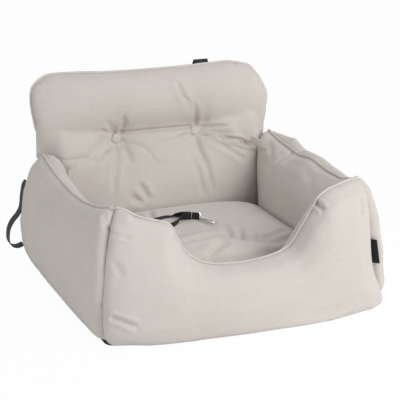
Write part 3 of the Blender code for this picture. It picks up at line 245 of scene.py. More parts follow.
def plated(name, dark, pale):
    """Nickel plated zinc: bright, with faint polishing marks and dull spots."""
    material, tree, shader = new_material(name)
    cloud = noise(tree, stretched(tree), 160.0, 4.0, 0.6)
    brushed = noise(tree, stretched(tree, (1, 14, 14)), 500.0, 2.0, 0.6)
    tree.links.new(ramp(tree, cloud, ((0.3, dark), (0.7, pale))), shader.inputs["Base Color"])
    shader.inputs["Metallic"].default_value = 1.0
    tree.links.new(greys(tree, brushed, (0.3, 0.16), (0.75, 0.34)), shader.inputs["Roughness"])
    bump(tree, shader, brushed, 0.12, 0.0002)
    return material


def non_slip(name, dark, pale):
    """Black non-slip base cloth: coarse weave with small rubber dots."""
    material, tree, shader = new_material(name)
    plain = stretched(tree)
    dots = tree.nodes.new("ShaderNodeTexVoronoi")
    dots.inputs["Scale"].default_value = 180.0
    dots.inputs["Randomness"].default_value = 0.0
    tree.links.new(plain, dots.inputs["Vector"])
    dot = greys(tree, dots.outputs["Distance"], (0.22, 1), (0.36, 0))
    weave = noise(tree, plain, 700.0, 3.0, 0.6)
    tree.links.new(ramp(tree, weave, ((0.3, dark), (0.7, pale))), shader.inputs["Base Color"])
    tree.links.new(greys(tree, dot, (0.0, 0.9), (1.0, 0.55)), shader.inputs["Roughness"])
    bump(tree, shader, weighted(tree, (dot, 0.7), (weave, 0.3)), 0.7, 0.0008)
    return material


LINEN = linen("linen_greige", (0.505, 0.462, 0.425), (0.690, 0.650, 0.612))
PIPING = linen("linen_piping", (0.520, 0.480, 0.445), (0.720, 0.685, 0.650), 1700.0)
BLACK = webbing("webbing_black", (0.006, 0.006, 0.007), (0.030, 0.030, 0.033))
LABEL = webbing("label_black", (0.006, 0.006, 0.006), (0.022, 0.022, 0.023))
PLASTIC = moulded("plastic_black", (0.012, 0.012, 0.013), (0.022, 0.022, 0.024))
NICKEL = plated("nickel_plated", (0.50, 0.48, 0.45), (0.72, 0.71, 0.69))
BASE = non_slip("base_non_slip", (0.010, 0.010, 0.011), (0.026, 0.026, 0.028))

# Mesh helpers
WELD = 1e-6


def paint(thing, material):
    thing.data.materials.clear()
    thing.data.materials.append(material)
    for polygon in thing.data.polygons:
        polygon.use_smooth = True


def add_mesh(name, points, faces, material):
    mesh = bpy.data.meshes.new(name)
    mesh.from_pydata([tuple(p) for p in points], [], faces)
    mesh.update()
    thing = bpy.data.objects.new(name, mesh)
    scene.collection.objects.link(thing)
    paint(thing, material)
    return thing


def outward(thing):
    """Turns the faces of a closed piece outward."""
    work = bmesh.new()
    work.from_mesh(thing.data)
    bmesh.ops.recalc_face_normals(work, faces=work.faces)
    work.to_mesh(thing.data)
    work.free()


def skinned(name, rings, material):
    """A closed piece over rings of points, with a cap at each end."""
    count, last = len(rings[0]), len(rings) - 1
    faces = [(i * count + j, i * count + (j + 1) % count, (i + 1) * count + (j + 1) % count, (i + 1) * count + j)
             for i in range(last) for j in range(count)]
    faces += [tuple(reversed(range(count))), tuple(last * count + j for j in range(count))]
    thing = add_mesh(name, [p for ring in rings for p in ring], faces, material)
    outward(thing)
    return thing


def sheet(name, points, rows, material):
    """A single layer over columns of points, each column of so many rows."""
    faces = [(i * rows + j, (i + 1) * rows + j, (i + 1) * rows + j + 1, i * rows + j + 1)
             for i in range(len(points) // rows - 1) for j in range(rows - 1)]
    return add_mesh(name, points, faces, material)


def coords(thing):
    values = np.empty(len(thing.data.vertices) * 3)
    thing.data.vertices.foreach_get("co", values)
    return values.reshape(-1, 3)


def set_coords(thing, points):
    thing.data.vertices.foreach_set("co", np.asarray(points, float).ravel())
    thing.data.update()


def normals(thing):
    values = np.empty(len(thing.data.vertices) * 3)
    thing.data.vertex_normals.foreach_get("vector", values)
    return values.reshape(-1, 3)


def welded_copy(name, node):
    """A closed copy of a CAD node, its split corners joined."""
    mesh = nodes[node].data.copy()
    mesh.name = name
    thing = bpy.data.objects.new(name, mesh)
    scene.collection.objects.link(thing)
    work = bmesh.new()
    work.from_mesh(mesh)
    bmesh.ops.remove_doubles(work, verts=work.verts, dist=WELD)
    bmesh.ops.recalc_face_normals(work, faces=work.faces)
    work.to_mesh(mesh)
    work.free()
    mesh.update()
    return thing


def surface_tree(*things):
    """The faces of some pieces, for rays and nearest points."""
    points, faces = [], []
    for thing in things:
        start = len(points)
        points.extend(v.co.copy() for v in thing.data.vertices)
        faces.extend([start + i for i in p.vertices] for p in thing.data.polygons)
    return BVHTree.FromPolygons(points, faces)


def apply_all(thing):
    bpy.context.view_layer.update()
    graph = bpy.context.evaluated_depsgraph_get()
    mesh = bpy.data.meshes.new_from_object(thing.evaluated_get(graph))
    old = thing.data
    thing.modifiers.clear()
    thing.data = mesh
    bpy.data.meshes.remove(old)


def modify(thing, kind, **values):
    """Adds one modifier and applies it."""
    modifier = thing.modifiers.new(kind.lower(), kind)
    for key, value in values.items():
        setattr(modifier, key, value)
    apply_all(thing)


def remesh(thing, size):
    modify(thing, "REMESH", mode="VOXEL", voxel_size=size)


def relax(thing, share, rounds):
    modify(thing, "SMOOTH", factor=share, iterations=rounds)


def thickened(thing, thickness):
    """Closes a single layer into cloth with a back face and edges."""
    modify(thing, "SOLIDIFY", thickness=thickness, offset=-1)
    outward(thing)
    return thing


def swell(thing, pressure, frames=20):
    """Cloth under pressure without gravity, applied to the mesh."""
    modifier = thing.modifiers.new("cloth", "CLOTH")
    cloth = modifier.settings
    cloth.quality = 5
    cloth.mass = 0.3
    cloth.tension_stiffness = 15
    cloth.compression_stiffness = 15
    cloth.shear_stiffness = 5
    cloth.bending_stiffness = 0.5
    cloth.use_pressure = True
    cloth.uniform_pressure_force = pressure
    cloth.effector_weights.gravity = 0
    modifier.collision_settings.use_collision = False
    modifier.point_cache.frame_start = 1
    modifier.point_cache.frame_end = frames
    for number in range(1, frames + 1):
        scene.frame_set(number)
    apply_all(thing)
    scene.frame_set(1)


# Stuffed pieces
VOXEL = 0.005
COARSE_SMOOTHING = (0.5, 6)  # share and rounds, after the remesh
FINE_SMOOTHING = (0.4, 3)    # the same, once the piece is swollen
COVER = 0.0023         # from a filling to the outside of its own cover
PLAY_SOFT = 0.0002     # room left to the neighbouring covers
PLAY_HARD = 0.0003     # room left to the hard pieces
NEAR_SOFT = 0.06       # how far off covers and buttons are looked for
NEAR_HARD = 0.02
CORNER_REACH = 0.045   # how near to another cover a piece swells more
CORNER_FADE = 0.1      # that is for the left side alone, and fades over this width across the middle
TUFT_REACH = 0.05      # how far a button holds the swelling back
TUFT_LEAST = 0.35      # the share of the swelling that is left at a button
PRESSURE = 4.0
SINK = 0.0008          # how far the simulated cloth may sink inward
CLOTH_SHARE = 0.7
FLOOR_GAP = 0.0006
SOFT = [n for n in nodes if n.endswith("_cover") and n != "base_cover"]
HARD = [n for n in nodes if not n.endswith(("_cover", "_filling")) and n != "base_board"] + ["base_cover"]
BUTTONS = ["button_left", "button_right", "back_button_left", "back_button_right"]


def gaps(points, names, far):
    """How far each point is from the named CAD nodes, and far where they are further off."""
    tree = surface_tree(*(nodes[name] for name in names))
    found = np.full(len(points), far)
    for i, point in enumerate(points):
        hit = tree.find_nearest(Vector(point), far)
        if hit[0] is not None:
            found[i] = hit[3]
    return found


def fade(values):
    """A smooth step from 0 to 1."""
    values = np.clip(values, 0, 1)
    return values * values * (3 - 2 * values)


def stuffed(name, cover, filling, body, most, corner, fill):
    """The stuffed piece in place of a cover and its filling, swollen until it fills its cover."""
    thing = welded_copy(name, filling)
    remesh(thing, VOXEL)
    relax(thing, *COARSE_SMOOTHING)
    rest = coords(thing)
    soft = gaps(rest, [n for n in SOFT if n != cover], NEAR_SOFT)
    hard = gaps(rest, HARD, NEAR_HARD)
    tuft = gaps(rest, BUTTONS, NEAR_SOFT)
    want = most + corner * np.exp(-(soft / CORNER_REACH) ** 2) * fade(0.5 - rest[:, 0] / CORNER_FADE)
    limit = want * (TUFT_LEAST + (1 - TUFT_LEAST) * fade(tuft / TUFT_REACH))
    limit = np.minimum(limit, COVER + np.maximum(soft - COVER, 0) / 2 - PLAY_SOFT)
    limit = np.minimum(limit, hard - PLAY_HARD)
    limit = np.maximum(limit, 0.0)
    moved = normals(thing) * want[:, None]
    face = normals(thing)
    swell(thing, PRESSURE)
    pulled = coords(thing) - rest
    inward = np.minimum(np.einsum("ij,ij->i", pulled, face) + SINK, 0)
    moved += (pulled - face * inward[:, None]) * CLOTH_SHARE
    length = np.linalg.norm(moved, axis=1)
    moved *= np.minimum(1.0, limit / np.maximum(length, 1e-9))[:, None]
    set_coords(thing, rest + moved)
    relax(thing, *FINE_SMOOTHING)
    modify(thing, "SUBSURF", levels=1, render_levels=1)
    paint(thing, LINEN)
    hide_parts(cover, filling)
    thing["body"] = body
    return thing


# Each row: the piece, the cover and the filling that it stands for, its body, how far it swells, how much
# more it does so at the corners, and how full it is.
STUFFED = (
    ("wall_left_pad", "wall_left_cover", "wall_left_filling", "tub", 0.0035, 0.006, 0.75),
    ("wall_right_pad", "wall_right_cover", "wall_right_filling", "tub", 0.006, 0.006, 0.75),
    ("wall_front_pad", "wall_front_cover", "wall_front_filling", "tub", 0.006, 0.006, 0.75),
    ("backrest_lower_pad", "backrest_lower_cover", "backrest_lower_filling", "tub", 0.006, 0.0, 0.7),
    ("backrest_upper_pad", "backrest_upper_cover", "backrest_upper_filling", "backrest", 0.006, 0.0, 0.7),
    ("seat_cushion_pad", "seat_cushion_cover", "seat_cushion_filling", "tub", 0.004, 0.0, 0.65),
)

# Folds and seams
SIGHT_STEP = 1.5       # pixels between the points of a fold that are looked up on a piece
CREASE_STEP = 0.002
CREASE_BLUR = 6
CREASE_FAR = 4         # how far a fold is felt, in its widths
CREASE_TAPER = 0.3     # the share of a fold's length over which each of its ends fades out
RIDGE_PLACE = 2.1      # where the ridge beside a fold lies, in widths of the fold
PIPING_RADIUS = 0.0024
PIPING_STEP = 0.003
PIPING_BLUR, LAID_BLUR = 10, 4  # rounds, for the CAD cord's line and for the line once it is laid on its pad
PIPING_SIDES = 12
PIPING_LOBES = 3
PIPING_LOBE_RISE = 0.05
PIPING_TWIST = 0.5
PIPING_STAND_OFF = 0.62  # how far the cord's middle stands off its pad, in radii
PIPING_END = 0.55      # the size of the cord's two ends
FIRST_UP = (0.3, 0.2, 1.0)  # any direction that no cord starts along
COPLANAR = 0.99999


def on_surface(thing, pixels):
    """Points on a piece under a line drawn in pixels of the reference picture."""
    tree = surface_tree(thing)
    places = []
    for (u0, v0), (u1, v1) in zip(pixels, pixels[1:]):
        count = max(int(math.hypot(u1 - u0, v1 - v0) / SIGHT_STEP), 1)
        places += [(u0 + (u1 - u0) * (i / count), v0 + (v1 - v0) * (i / count)) for i in range(count)]
    hits = [tree.ray_cast(EYE, sight(u, v))[0] for u, v in (*places, pixels[-1])]
    return np.array([np.array(hit) for hit in hits if hit is not None])


def distances(points):
    """How far along the line each of its points lies."""
    return np.concatenate([[0], np.cumsum(np.linalg.norm(np.diff(points, axis=0), axis=1))])


def spread(points, count):
    """The line in count equal steps."""
    run = distances(points)
    at = np.linspace(0, run[-1], count + 1)
    return np.stack([np.interp(at, run, points[:, i]) for i in range(3)], axis=1)


def even(points, step):
    """The line in equal steps of about the given length."""
    return spread(points, max(int(distances(points)[-1] / step), 2))


def aheads(points):
    """The direction of the line at each of its points."""
    last = len(points) - 1
    return [points[min(i + 1, last)] - points[max(i - 1, 0)] for i in range(last + 1)]


def blurred(points, rounds):
    """The line with its corners worn off, its two ends kept."""
    points = points.copy()
    for _ in range(rounds):
        points[1:-1] = points[1:-1] * 0.5 + (points[:-2] + points[2:]) * 0.25
    return points


def crease(thing, points, width, depth, ridge=0.4, start=0.0, end=0.0):
    """Presses a fold into a piece along points; start and end are the shares of its depth left at its ends."""
    if len(points) < 2:
        return
    points = blurred(even(points, CREASE_STEP), CREASE_BLUR)
    base, face = coords(thing), normals(thing)
    low, high = points.min(0) - CREASE_FAR * width, points.max(0) + CREASE_FAR * width
    near = np.where(np.all((base > low) & (base < high), axis=1))[0]
    if not len(near):
        return
    away = np.linalg.norm(base[near][:, None, :] - points[None, :, :], axis=2)
    best = away.argmin(1)
    gap = away[np.arange(len(near)), best]
    share = best / (len(points) - 1)
    taper = np.minimum(start + (1 - start) * fade(share / CREASE_TAPER),
                       end + (1 - end) * fade((1 - share) / CREASE_TAPER))
    push = -depth * np.exp(-(gap / width) ** 2)
    push += depth * ridge * np.exp(-((gap - RIDGE_PLACE * width) / width) ** 2)
    base[near] += face[near] * (push * taper)[:, None]
    set_coords(thing, base)


def folds(thing, rows):
    """Presses a fold into a piece for each row."""
    for pixels, width, depth, *more in rows:
        crease(thing, on_surface(thing, pixels), width, depth, *more)


def falloff(points, centre, reach):
    """1 at the centre, about a third at its reach along each axis, and next to nothing at twice that."""
    gap = np.linalg.norm((points - np.array(centre)) / np.array(reach), axis=1)
    return np.exp(-gap ** 2)[:, None]


def mound(thing, centre, reach, height):
    """A soft lump of stuffing, or a hollow where height is below 0."""
    base, face = coords(thing), normals(thing)
    set_coords(thing, base + face * (height * falloff(base, centre, reach)))


def lean(thing, centre, reach, move):
    """Draws a part of a piece softly to one side."""
    base = coords(thing)
    set_coords(thing, base + np.array(move) * falloff(base, centre, reach))


def tube(name, points):
    """A round cord along points, with a slow twist in its cloth."""
    rings, last = [], len(points) - 1
    up = np.cross(points[1] - points[0], FIRST_UP)
    for i, (point, ahead) in enumerate(zip(points, aheads(points))):
        ahead = ahead / np.linalg.norm(ahead)
        up = up - ahead * np.dot(up, ahead)
        up = up / np.linalg.norm(up)
        side = np.cross(ahead, up)
        ring = []
        for j in range(PIPING_SIDES):
            angle = 2 * math.pi * j / PIPING_SIDES
            size = PIPING_RADIUS * (1 + PIPING_LOBE_RISE * math.sin(PIPING_LOBES * angle + PIPING_TWIST * i))
            if i in (0, last):
                size *= PIPING_END
            ring.append(point + (up * math.cos(angle) + side * math.sin(angle)) * size)
        rings.append(ring)
    return skinned(name, rings, PIPING)


def flat_group(face, seen):
    """The faces that lie in one plane with face and are joined to it."""
    seen.add(face.index)
    group, queue = [], [face]
    while queue:
        one = queue.pop()
        group.append(one)
        for other in (other for edge in one.edges for other in edge.link_faces):
            if other.index not in seen and other.normal.dot(face.normal) > COPLANAR:
                seen.add(other.index)
                queue.append(other)
    return group


def middle_line(node):
    """The middle of each ring of a CAD tube, from one end to the other."""
    work = bmesh.new()
    work.from_mesh(nodes[node].data)
    bmesh.ops.remove_doubles(work, verts=work.verts, dist=WELD)
    work.faces.ensure_lookup_table()
    caps, seen = [], set()
    for face in work.faces:
        if face.index in seen:
            continue
        group = flat_group(face, seen)
        corners = {v for one in group for v in one.verts}
        # A flat cap is cut into two triangles less than it has corners, and a side of the tube has few corners.
        if len(group) == len(corners) - 2 and len(corners) >= 6:
            caps.append(corners)
    ring, used, line = caps[0], set(), []
    while ring:
        used |= ring
        line.append(np.mean([np.array(v.co) for v in ring], axis=0))
        ring = {e.other_vert(v) for v in ring for e in v.link_edges} - used
    work.free()
    return np.array(line)


def piping(node, body, pad):
    """The covered cord in a seam: the CAD cord's line, rounded, and laid on the swollen pad."""
    tree = surface_tree(pad)
    laid = []
    for point in blurred(even(middle_line(node), PIPING_STEP), PIPING_BLUR):
        hit = tree.find_nearest(Vector(point))
        away = Vector(point) - hit[0]
        if away.dot(hit[1]) < 0 or away.length < WELD:
            away = hit[1]
        laid.append(np.array(hit[0] + away.normalized() * PIPING_RADIUS * PIPING_STAND_OFF))
    thing = tube(f"{node}_cord", blurred(np.array(laid), LAID_BLUR))
    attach(thing, body)
    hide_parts(node)


# Webbing
TETHER_WIDTH = 0.015
WEBBING_THICKNESS = 0.0016
LOOP_WIDTH = 0.025
# The points that each length of webbing runs through, from the end that is sewn on.
TETHER_ROUTE_BACK = (
    (-0.1876, 0.0335, 0.1130), (-0.1780, 0.0345, 0.1132), (-0.1650, 0.0355, 0.1150), (-0.1500, 0.0372, 0.1196),
    (-0.1360, 0.0385, 0.1220), (-0.1220, 0.0385, 0.1226), (-0.1000, 0.0370, 0.1254), (-0.0830, 0.0390, 0.1262),
    (-0.0635, 0.0460, 0.1270), (-0.0460, 0.0490, 0.1278), (-0.0325, 0.0430, 0.1302), (-0.0245, 0.0365, 0.1334),
    (-0.0130, 0.0270, 0.1345), (-0.0037, 0.0188, 0.1346))
TETHER_ROUTE_FRONT = (
    (-0.1876, 0.0335, 0.1110), (-0.1780, 0.0330, 0.1102), (-0.1650, 0.0310, 0.1126), (-0.1500, 0.0280, 0.1174),
    (-0.1250, 0.0210, 0.1220), (-0.1000, 0.0130, 0.1254), (-0.0800, 0.0050, 0.1260), (-0.0660, -0.0010, 0.1258),
    (-0.0560, -0.0020, 0.1263), (-0.0460, 0.0040, 0.1279), (-0.0370, 0.0110, 0.1308), (-0.0265, 0.0165, 0.1340),
    (-0.0140, 0.0185, 0.1345), (-0.0050, 0.0167, 0.1346))
LOOP_ROUTE = (
    (-0.2741, 0.2355, 0.1765), (-0.2775, 0.2355, 0.1730), (-0.2814, 0.2355, 0.1650), (-0.2853, 0.2355, 0.1450),
    (-0.2885, 0.2355, 0.1220), (-0.2960, 0.2355, 0.1080), (-0.3060, 0.2355, 0.0970), (-0.3140, 0.2355, 0.0830),
    (-0.3172, 0.2355, 0.0670), (-0.3160, 0.2355, 0.0520), (-0.3090, 0.2355, 0.0430), (-0.3000, 0.2355, 0.0405),
    (-0.2930, 0.2355, 0.0418), (-0.2866, 0.2355, 0.0445))
ROUTE_SUBSTEPS = 16
ROUTE_STEPS = 96
TWIST_START_SHARE = 0.72
# The points round a webbing's section, in shares of half its width and half its thickness.
WEBBING_SECTION = (
    (-1.0, 0.0), (-0.985, 0.7), (-0.93, 1.0), (-0.5, 0.86), (0.0, 0.86), (0.5, 0.86), (0.93, 1.0), (0.985, 0.7),
    (1.0, 0.0), (0.985, -0.7), (0.93, -1.0), (0.5, -0.86), (0.0, -0.86), (-0.5, -0.86), (-0.93, -1.0),
    (-0.985, -0.7))


def smooth_route(route):
    """Points evenly spaced along a smooth curve through the route, and the curve's length."""
    points = [np.array(p) for p in route]
    ends = [2 * points[0] - points[1], *points, 2 * points[-1] - points[-2]]
    fine = []
    for a, b, c, d in zip(ends, ends[1:], ends[2:], ends[3:]):
        for t in np.linspace(0, 1, ROUTE_SUBSTEPS, endpoint=False):
            fine.append(0.5 * (2 * b + (c - a) * t + (2 * a - 5 * b + 4 * c - d) * t ** 2
                               + (3 * b - a - 3 * c + d) * t ** 3))
    fine = np.array([*fine, points[-1]])
    return spread(fine, ROUTE_STEPS), distances(fine)[-1]


def ribbon(name, points, ups, width):
    """Flat webbing with bound edges along points; ups is its face direction at each point."""
    half, deep = width / 2, WEBBING_THICKNESS / 2
    rings = []
    for point, ahead, up in zip(points, aheads(points), ups):
        ahead = ahead / np.linalg.norm(ahead)
        side = np.cross(ahead, up)
        side /= np.linalg.norm(side)
        face = np.cross(side, ahead)
        rings.append([point + side * (x * half) + face * (y * deep) for x, y in WEBBING_SECTION])
    return skinned(name, rings, BLACK)


def add_strand(name, node, route):
    """A strand of the tether: flat along the cushion, then turned on edge towards the snap."""
    points, length = smooth_route(route)
    ups = []
    for i, ahead in enumerate(aheads(points)):
        share = fade((i / (len(points) - 1) - TWIST_START_SHARE) / (1 - TWIST_START_SHARE))
        flat = np.cross(ahead, (0, 0, 1.0))
        flat /= np.linalg.norm(flat)
        angle = share * math.pi / 2
        ups.append(np.array((0, 0, 1.0)) * math.cos(angle) - flat * math.sin(angle))
    thing = ribbon(name, points, ups, TETHER_WIDTH)
    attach(thing, "tub")
    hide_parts(node)


def add_loop():
    """The loop for the car's seat belt, hanging at the left side."""
    points, length = smooth_route(LOOP_ROUTE)
    ups = [np.cross((0, 1.0, 0), ahead) for ahead in aheads(points)]
    thing = ribbon("belt_loop_webbing", points, ups, LOOP_WIDTH)
    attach(thing, "tub")
    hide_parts("belt_loop")


add_strand("tether_back_webbing", "tether_strand_back", TETHER_ROUTE_BACK)
add_strand("tether_front_webbing", "tether_strand_front", TETHER_ROUTE_FRONT)
add_loop()

# Fold lines

# Each row: a line in pixels of the 400 by 400 picture, then the fold's width and depth in metres, the ridge
# beside it, and what is left of its depth at its two ends.
UPPER_FOLD_PIXELS = (
    (((97, 129.6), (104, 128.6), (109, 131)), 0.004, 0.0030),
    (((122.8, 110), (125, 118), (127.8, 124)), 0.005, 0.0030, 0.5, 0.0, 0.6),
    (((175, 77), (179, 87), (184, 98), (191, 108)), 0.005, 0.0032, 0.5, 0.0, 0.5),
    (((194, 100), (195.5, 112), (196.5, 124)), 0.005, 0.0028, 0.4, 0.0, 1.0),
    (((206, 112), (202, 118), (199, 124)), 0.005, 0.0025, 0.4, 0.0, 1.0),
    (((208, 126.5), (222, 125.3), (234, 124.5)), 0.005, 0.0035),
    (((36, 84), (42, 81.5)), 0.004, 0.0022, 0.3, 1.0, 0.0),
    (((35, 92), (40, 91)), 0.004, 0.0016, 0.3, 1.0, 0.0),
    (((233, 60), (236, 66)), 0.004, 0.0022, 0.4, 1.0, 0.0),
)
LOWER_FOLD_PIXELS = (
    (((201.6, 131.6), (206.7, 136.7), (222, 144.9), (237.3, 154), (248.6, 163.3)),
     0.0055, 0.0040, 0.5, 1.0, 0.0),
    (((220, 137.5), (230, 139.5), (245, 143), (256.5, 144.5)), 0.0038, 0.0060, 0.6, 0.2, 1.0),
    (((226, 141), (236, 146.5), (246, 152)), 0.0045, 0.0026, 0.4),
    (((195.5, 143), (201.6, 156), (206.7, 165.3), (211.8, 185.7), (214.9, 197)),
     0.006, 0.0038, 0.5, 0.8, 0.0),
    (((197, 160), (200.6, 182.7), (204.7, 198)), 0.006, 0.0024, 0.4),
    (((187, 133), (177, 136.7), (165, 140.8), (153.7, 138.5)), 0.006, 0.0030, 0.5, 0.8, 0.0),
    (((137.3, 181.6), (143.5, 189.8), (149.6, 201)), 0.006, 0.0045, 0.5),
    (((116, 148), (117, 157.8), (116.2, 170), (114, 184), (112.5, 198)),
     0.006, 0.0036, 0.5, 0.8, 0.0),
    (((109, 147), (104.6, 151), (97, 159), (89, 166.5)), 0.0055, 0.0036, 0.5, 0.8, 0.0),
    (((123, 147), (129, 156), (133, 167)), 0.006, 0.0022, 0.4, 0.8, 0.0),
    (((128, 196), (136, 200), (146, 203)), 0.006, 0.0030, 0.4),
)
LEFT_FOLD_PIXELS = (
    (((99.5, 223.3), (107, 227), (114, 230.4)), 0.0035, 0.0026, 0.5, 0.0, 1.0),
    (((103.3, 272.4), (112.2, 278.8)), 0.0035, 0.0022, 0.5, 0.0, 1.0),
    (((104.6, 280), (112.5, 285)), 0.0035, 0.0022, 0.5, 0.0, 1.0),
    (((103, 213), (106, 221), (110, 226)), 0.0045, 0.0024, 0.4),
    (((104.6, 317), (112, 317.6)), 0.004, 0.0028, 0.5, 0.0, 1.0),
    (((98, 300), (108, 304)), 0.005, 0.0016, 0.4, 0.0, 1.0),
)
FRONT_FOLD_PIXELS = (
    (((114.8, 318.4), (121, 320.5), (127.5, 323.5), (140, 328.5)), 0.0042, 0.0045, 0.6, 1.0, 0.0),
    (((116, 235.5), (122, 236.3), (131.4, 238)), 0.0038, 0.0026, 0.5, 1.0, 0.0),
    (((115, 262), (120, 268), (124, 280)), 0.0055, 0.0018, 0.4, 0.6, 0.0),
    (((116, 214), (123, 226), (133, 240)), 0.008, 0.0022, 0.3, 0.5, 0.0),
    (((316.8, 203.6), (319.5, 206.2), (325, 210.6)), 0.0042, 0.0048, 0.6, 1.0, 0.0),
    (((176, 239), (172, 248), (171, 262)), 0.009, 0.0025, 0.3, 0.6, 0.0),
    (((236, 336), (239.5, 332.5)), 0.0045, 0.0022, 0.3, 1.0, 0.0),
    (((361, 196), (361.5, 208), (362, 220)), 0.0045, 0.0024, 0.4),
    (((300, 316), (322, 312), (345, 308)), 0.009, 0.0016, 0.3),
)
RIGHT_FOLD_PIXELS = (
    (((274.2, 164.2), (280.7, 158.8), (291.5, 153.4)), 0.0055, 0.0030, 0.5, 0.0, 1.0),
    (((268, 137), (271, 148), (272, 160)), 0.006, 0.0018, 0.4),
    (((303, 170), (310, 180), (313, 192)), 0.008, 0.0016, 0.3),
    (((256, 140), (259.5, 135.5), (264, 131)), 0.0030, 0.0050, 0.2, 1.0, 0.6),
)
CUSHION_FOLD_PIXELS = (
    (((168, 243), (180, 242.5), (205, 238), (225, 236.6), (249, 238.5), (272, 241), (290, 237.5)),
     0.0085, 0.0085, 0.45, 0.6, 0.6),
    (((222.7, 242.3), (214, 250), (204.8, 258.9)), 0.0085, 0.0050, 0.4, 0.8, 0.2),
    (((238, 226), (239.5, 232), (240.5, 237)), 0.006, 0.0034, 0.4, 0.0, 1.0),
    (((252, 227), (253.5, 233), (254.5, 238.5)), 0.006, 0.0034, 0.4, 0.0, 1.0),
    (((222, 222), (226, 228), (230, 235)), 0.006, 0.0022, 0.4, 0.0, 1.0),
    (((266, 238), (276, 233.5), (288, 229)), 0.006, 0.0040, 0.5, 0.6, 0.0),
    (((154, 221), (150, 214), (149, 207)), 0.006, 0.0040, 0.4),
)
SKIN_FOLD_PIXELS = (
    (((121, 132.4), (135, 130.8), (150, 129.6), (170, 128), (189, 126.8)),
     0.0036, 0.0042, 0.5, 1.0, 1.0),
    (((201, 127), (215, 126.3), (232, 125.4)), 0.0034, 0.0034, 0.5, 1.0, 0.0),
    (((98.8, 129.6), (104, 131), (110, 134)), 0.0034, 0.0026, 0.5, 0.0, 1.0),
    (((203.7, 136.7), (218, 139.8), (234, 151), (248.6, 162.2)), 0.0040, 0.0040, 0.6, 1.0, 0.0),
    (((222, 137.8), (240.4, 139.8), (248.6, 144.4), (256.7, 143.4)), 0.0034, 0.0046, 0.7, 0.2, 1.0),
    (((195.5, 143.9), (201, 155), (206.7, 165.3)), 0.0042, 0.0036, 0.5, 1.0, 0.2),
    (((186.3, 134.7), (173, 139.8), (160, 140), (150.6, 134.7)), 0.0042, 0.0030, 0.5, 1.0, 0.0),
    (((113.7, 147.8), (117.8, 157.8), (118.3, 170)), 0.0042, 0.0030, 0.5, 1.0, 0.2),
    (((108, 146), (99, 157), (90, 166)), 0.0042, 0.0034, 0.5, 1.0, 0.0),
    (((122.8, 113.8), (124.5, 121.3), (121, 132)), 0.0042, 0.0030, 0.5, 0.0, 1.0),
    (((105, 118), (110, 126), (113, 133)), 0.0046, 0.0022, 0.4, 0.0, 1.0),
    (((194.5, 98), (195.5, 112), (195.5, 126)), 0.0042, 0.0026, 0.5, 0.0, 1.0),
    (((210, 114), (204, 121), (199, 128)), 0.0046, 0.0022, 0.4, 0.0, 1.0),
    (((128, 146), (124, 143), (121, 141)), 0.0042, 0.0022, 0.4, 0.0, 1.0),
    (((254.5, 142), (256.5, 138), (260, 133.5)), 0.0036, 0.0110, 0.2, 1.0, 0.8),
)

# Pads and their piping
pads = {row[0]: stuffed(*row) for row in STUFFED}
left, right, front = pads["wall_left_pad"], pads["wall_right_pad"], pads["wall_front_pad"]
lower, upper, cushion = pads["backrest_lower_pad"], pads["backrest_upper_pad"], pads["seat_cushion_pad"]

# Each row: the centre of a lump or hollow in the cushion, its reach along each axis, and its height.
MOUNDS = (
    ((0.02, 0.115, 0.125), (0.16, 0.045, 0.05), 0.0030),
    ((-0.03, -0.075, 0.12), (0.10, 0.05, 0.05), 0.0050),
    ((0.10, -0.07, 0.12), (0.07, 0.05, 0.05), 0.0045),
    ((0.03, -0.075, 0.12), (0.03, 0.05, 0.05), -0.0045),
)

# Each row: the pad, the centre of the part that is drawn aside, its reach along each axis, and the move. In
# turn: the front wall's foot, its lower right corner, its end at the tag, the right wall's lower corner,
# its edge at the tag, the left wall and the front wall at their seam, the left edge of the back, and the
# front wall's two feet beside the black base.
LEANINGS = (
    (front, (0.12, -0.272, 0.006), (0.17, 0.022, 0.018), (0, -0.0070, -0.0060)),
    (front, (0.260, -0.256, 0.014), (0.035, 0.030, 0.030), (0.0090, -0.0040, -0.0050)),
    (front, (0.266, -0.236, 0.125), (0.022, 0.022, 0.110), (-0.0050, 0.0030, 0)),
    (right, (0.285, -0.226, 0.028), (0.035, 0.040, 0.045), (0.0070, -0.0040, -0.0060)),
    (right, (0.268, -0.232, 0.115), (0.020, 0.020, 0.060), (0.0030, 0.0030, 0)),
    (left, (-0.266, -0.232, 0.120), (0.030, 0.030, 0.110), (-0.0020, -0.0095, 0)),
    (front, (-0.256, -0.248, 0.120), (0.022, 0.022, 0.110), (-0.0035, 0.0035, 0)),
    (lower, (-0.255, 0.225, 0.235), (0.035, 0.060, 0.045), (0.0090, 0, 0)),
    (front, (-0.236, -0.262, 0.012), (0.030, 0.040, 0.016), (0, 0, 0.0070)),
    (front, (0.262, -0.240, 0.012), (0.012, 0.030, 0.012), (0, 0, 0.0050)),
)

for pad, rows in ((upper, UPPER_FOLD_PIXELS), (lower, LOWER_FOLD_PIXELS), (left, LEFT_FOLD_PIXELS),
                  (front, FRONT_FOLD_PIXELS), (right, RIGHT_FOLD_PIXELS)):
    folds(pad, rows)
for row in MOUNDS:
    mound(cushion, *row)
folds(cushion, CUSHION_FOLD_PIXELS)
for row in LEANINGS:
    lean(*row)
for pad in pads.values():
    rested = coords(pad)
    rested[:, 2] = np.maximum(rested[:, 2], FLOOR_GAP)
    set_coords(pad, rested)
    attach(pad, pad["body"])

piping("piping_left", "tub", left)
piping("piping_right", "tub", right)
piping("piping_front", "tub", front)
piping("piping_backrest", "backrest", upper)

# Fold of the backrest
FOLD_Y, FOLD_Z = 0.2315, 0.261
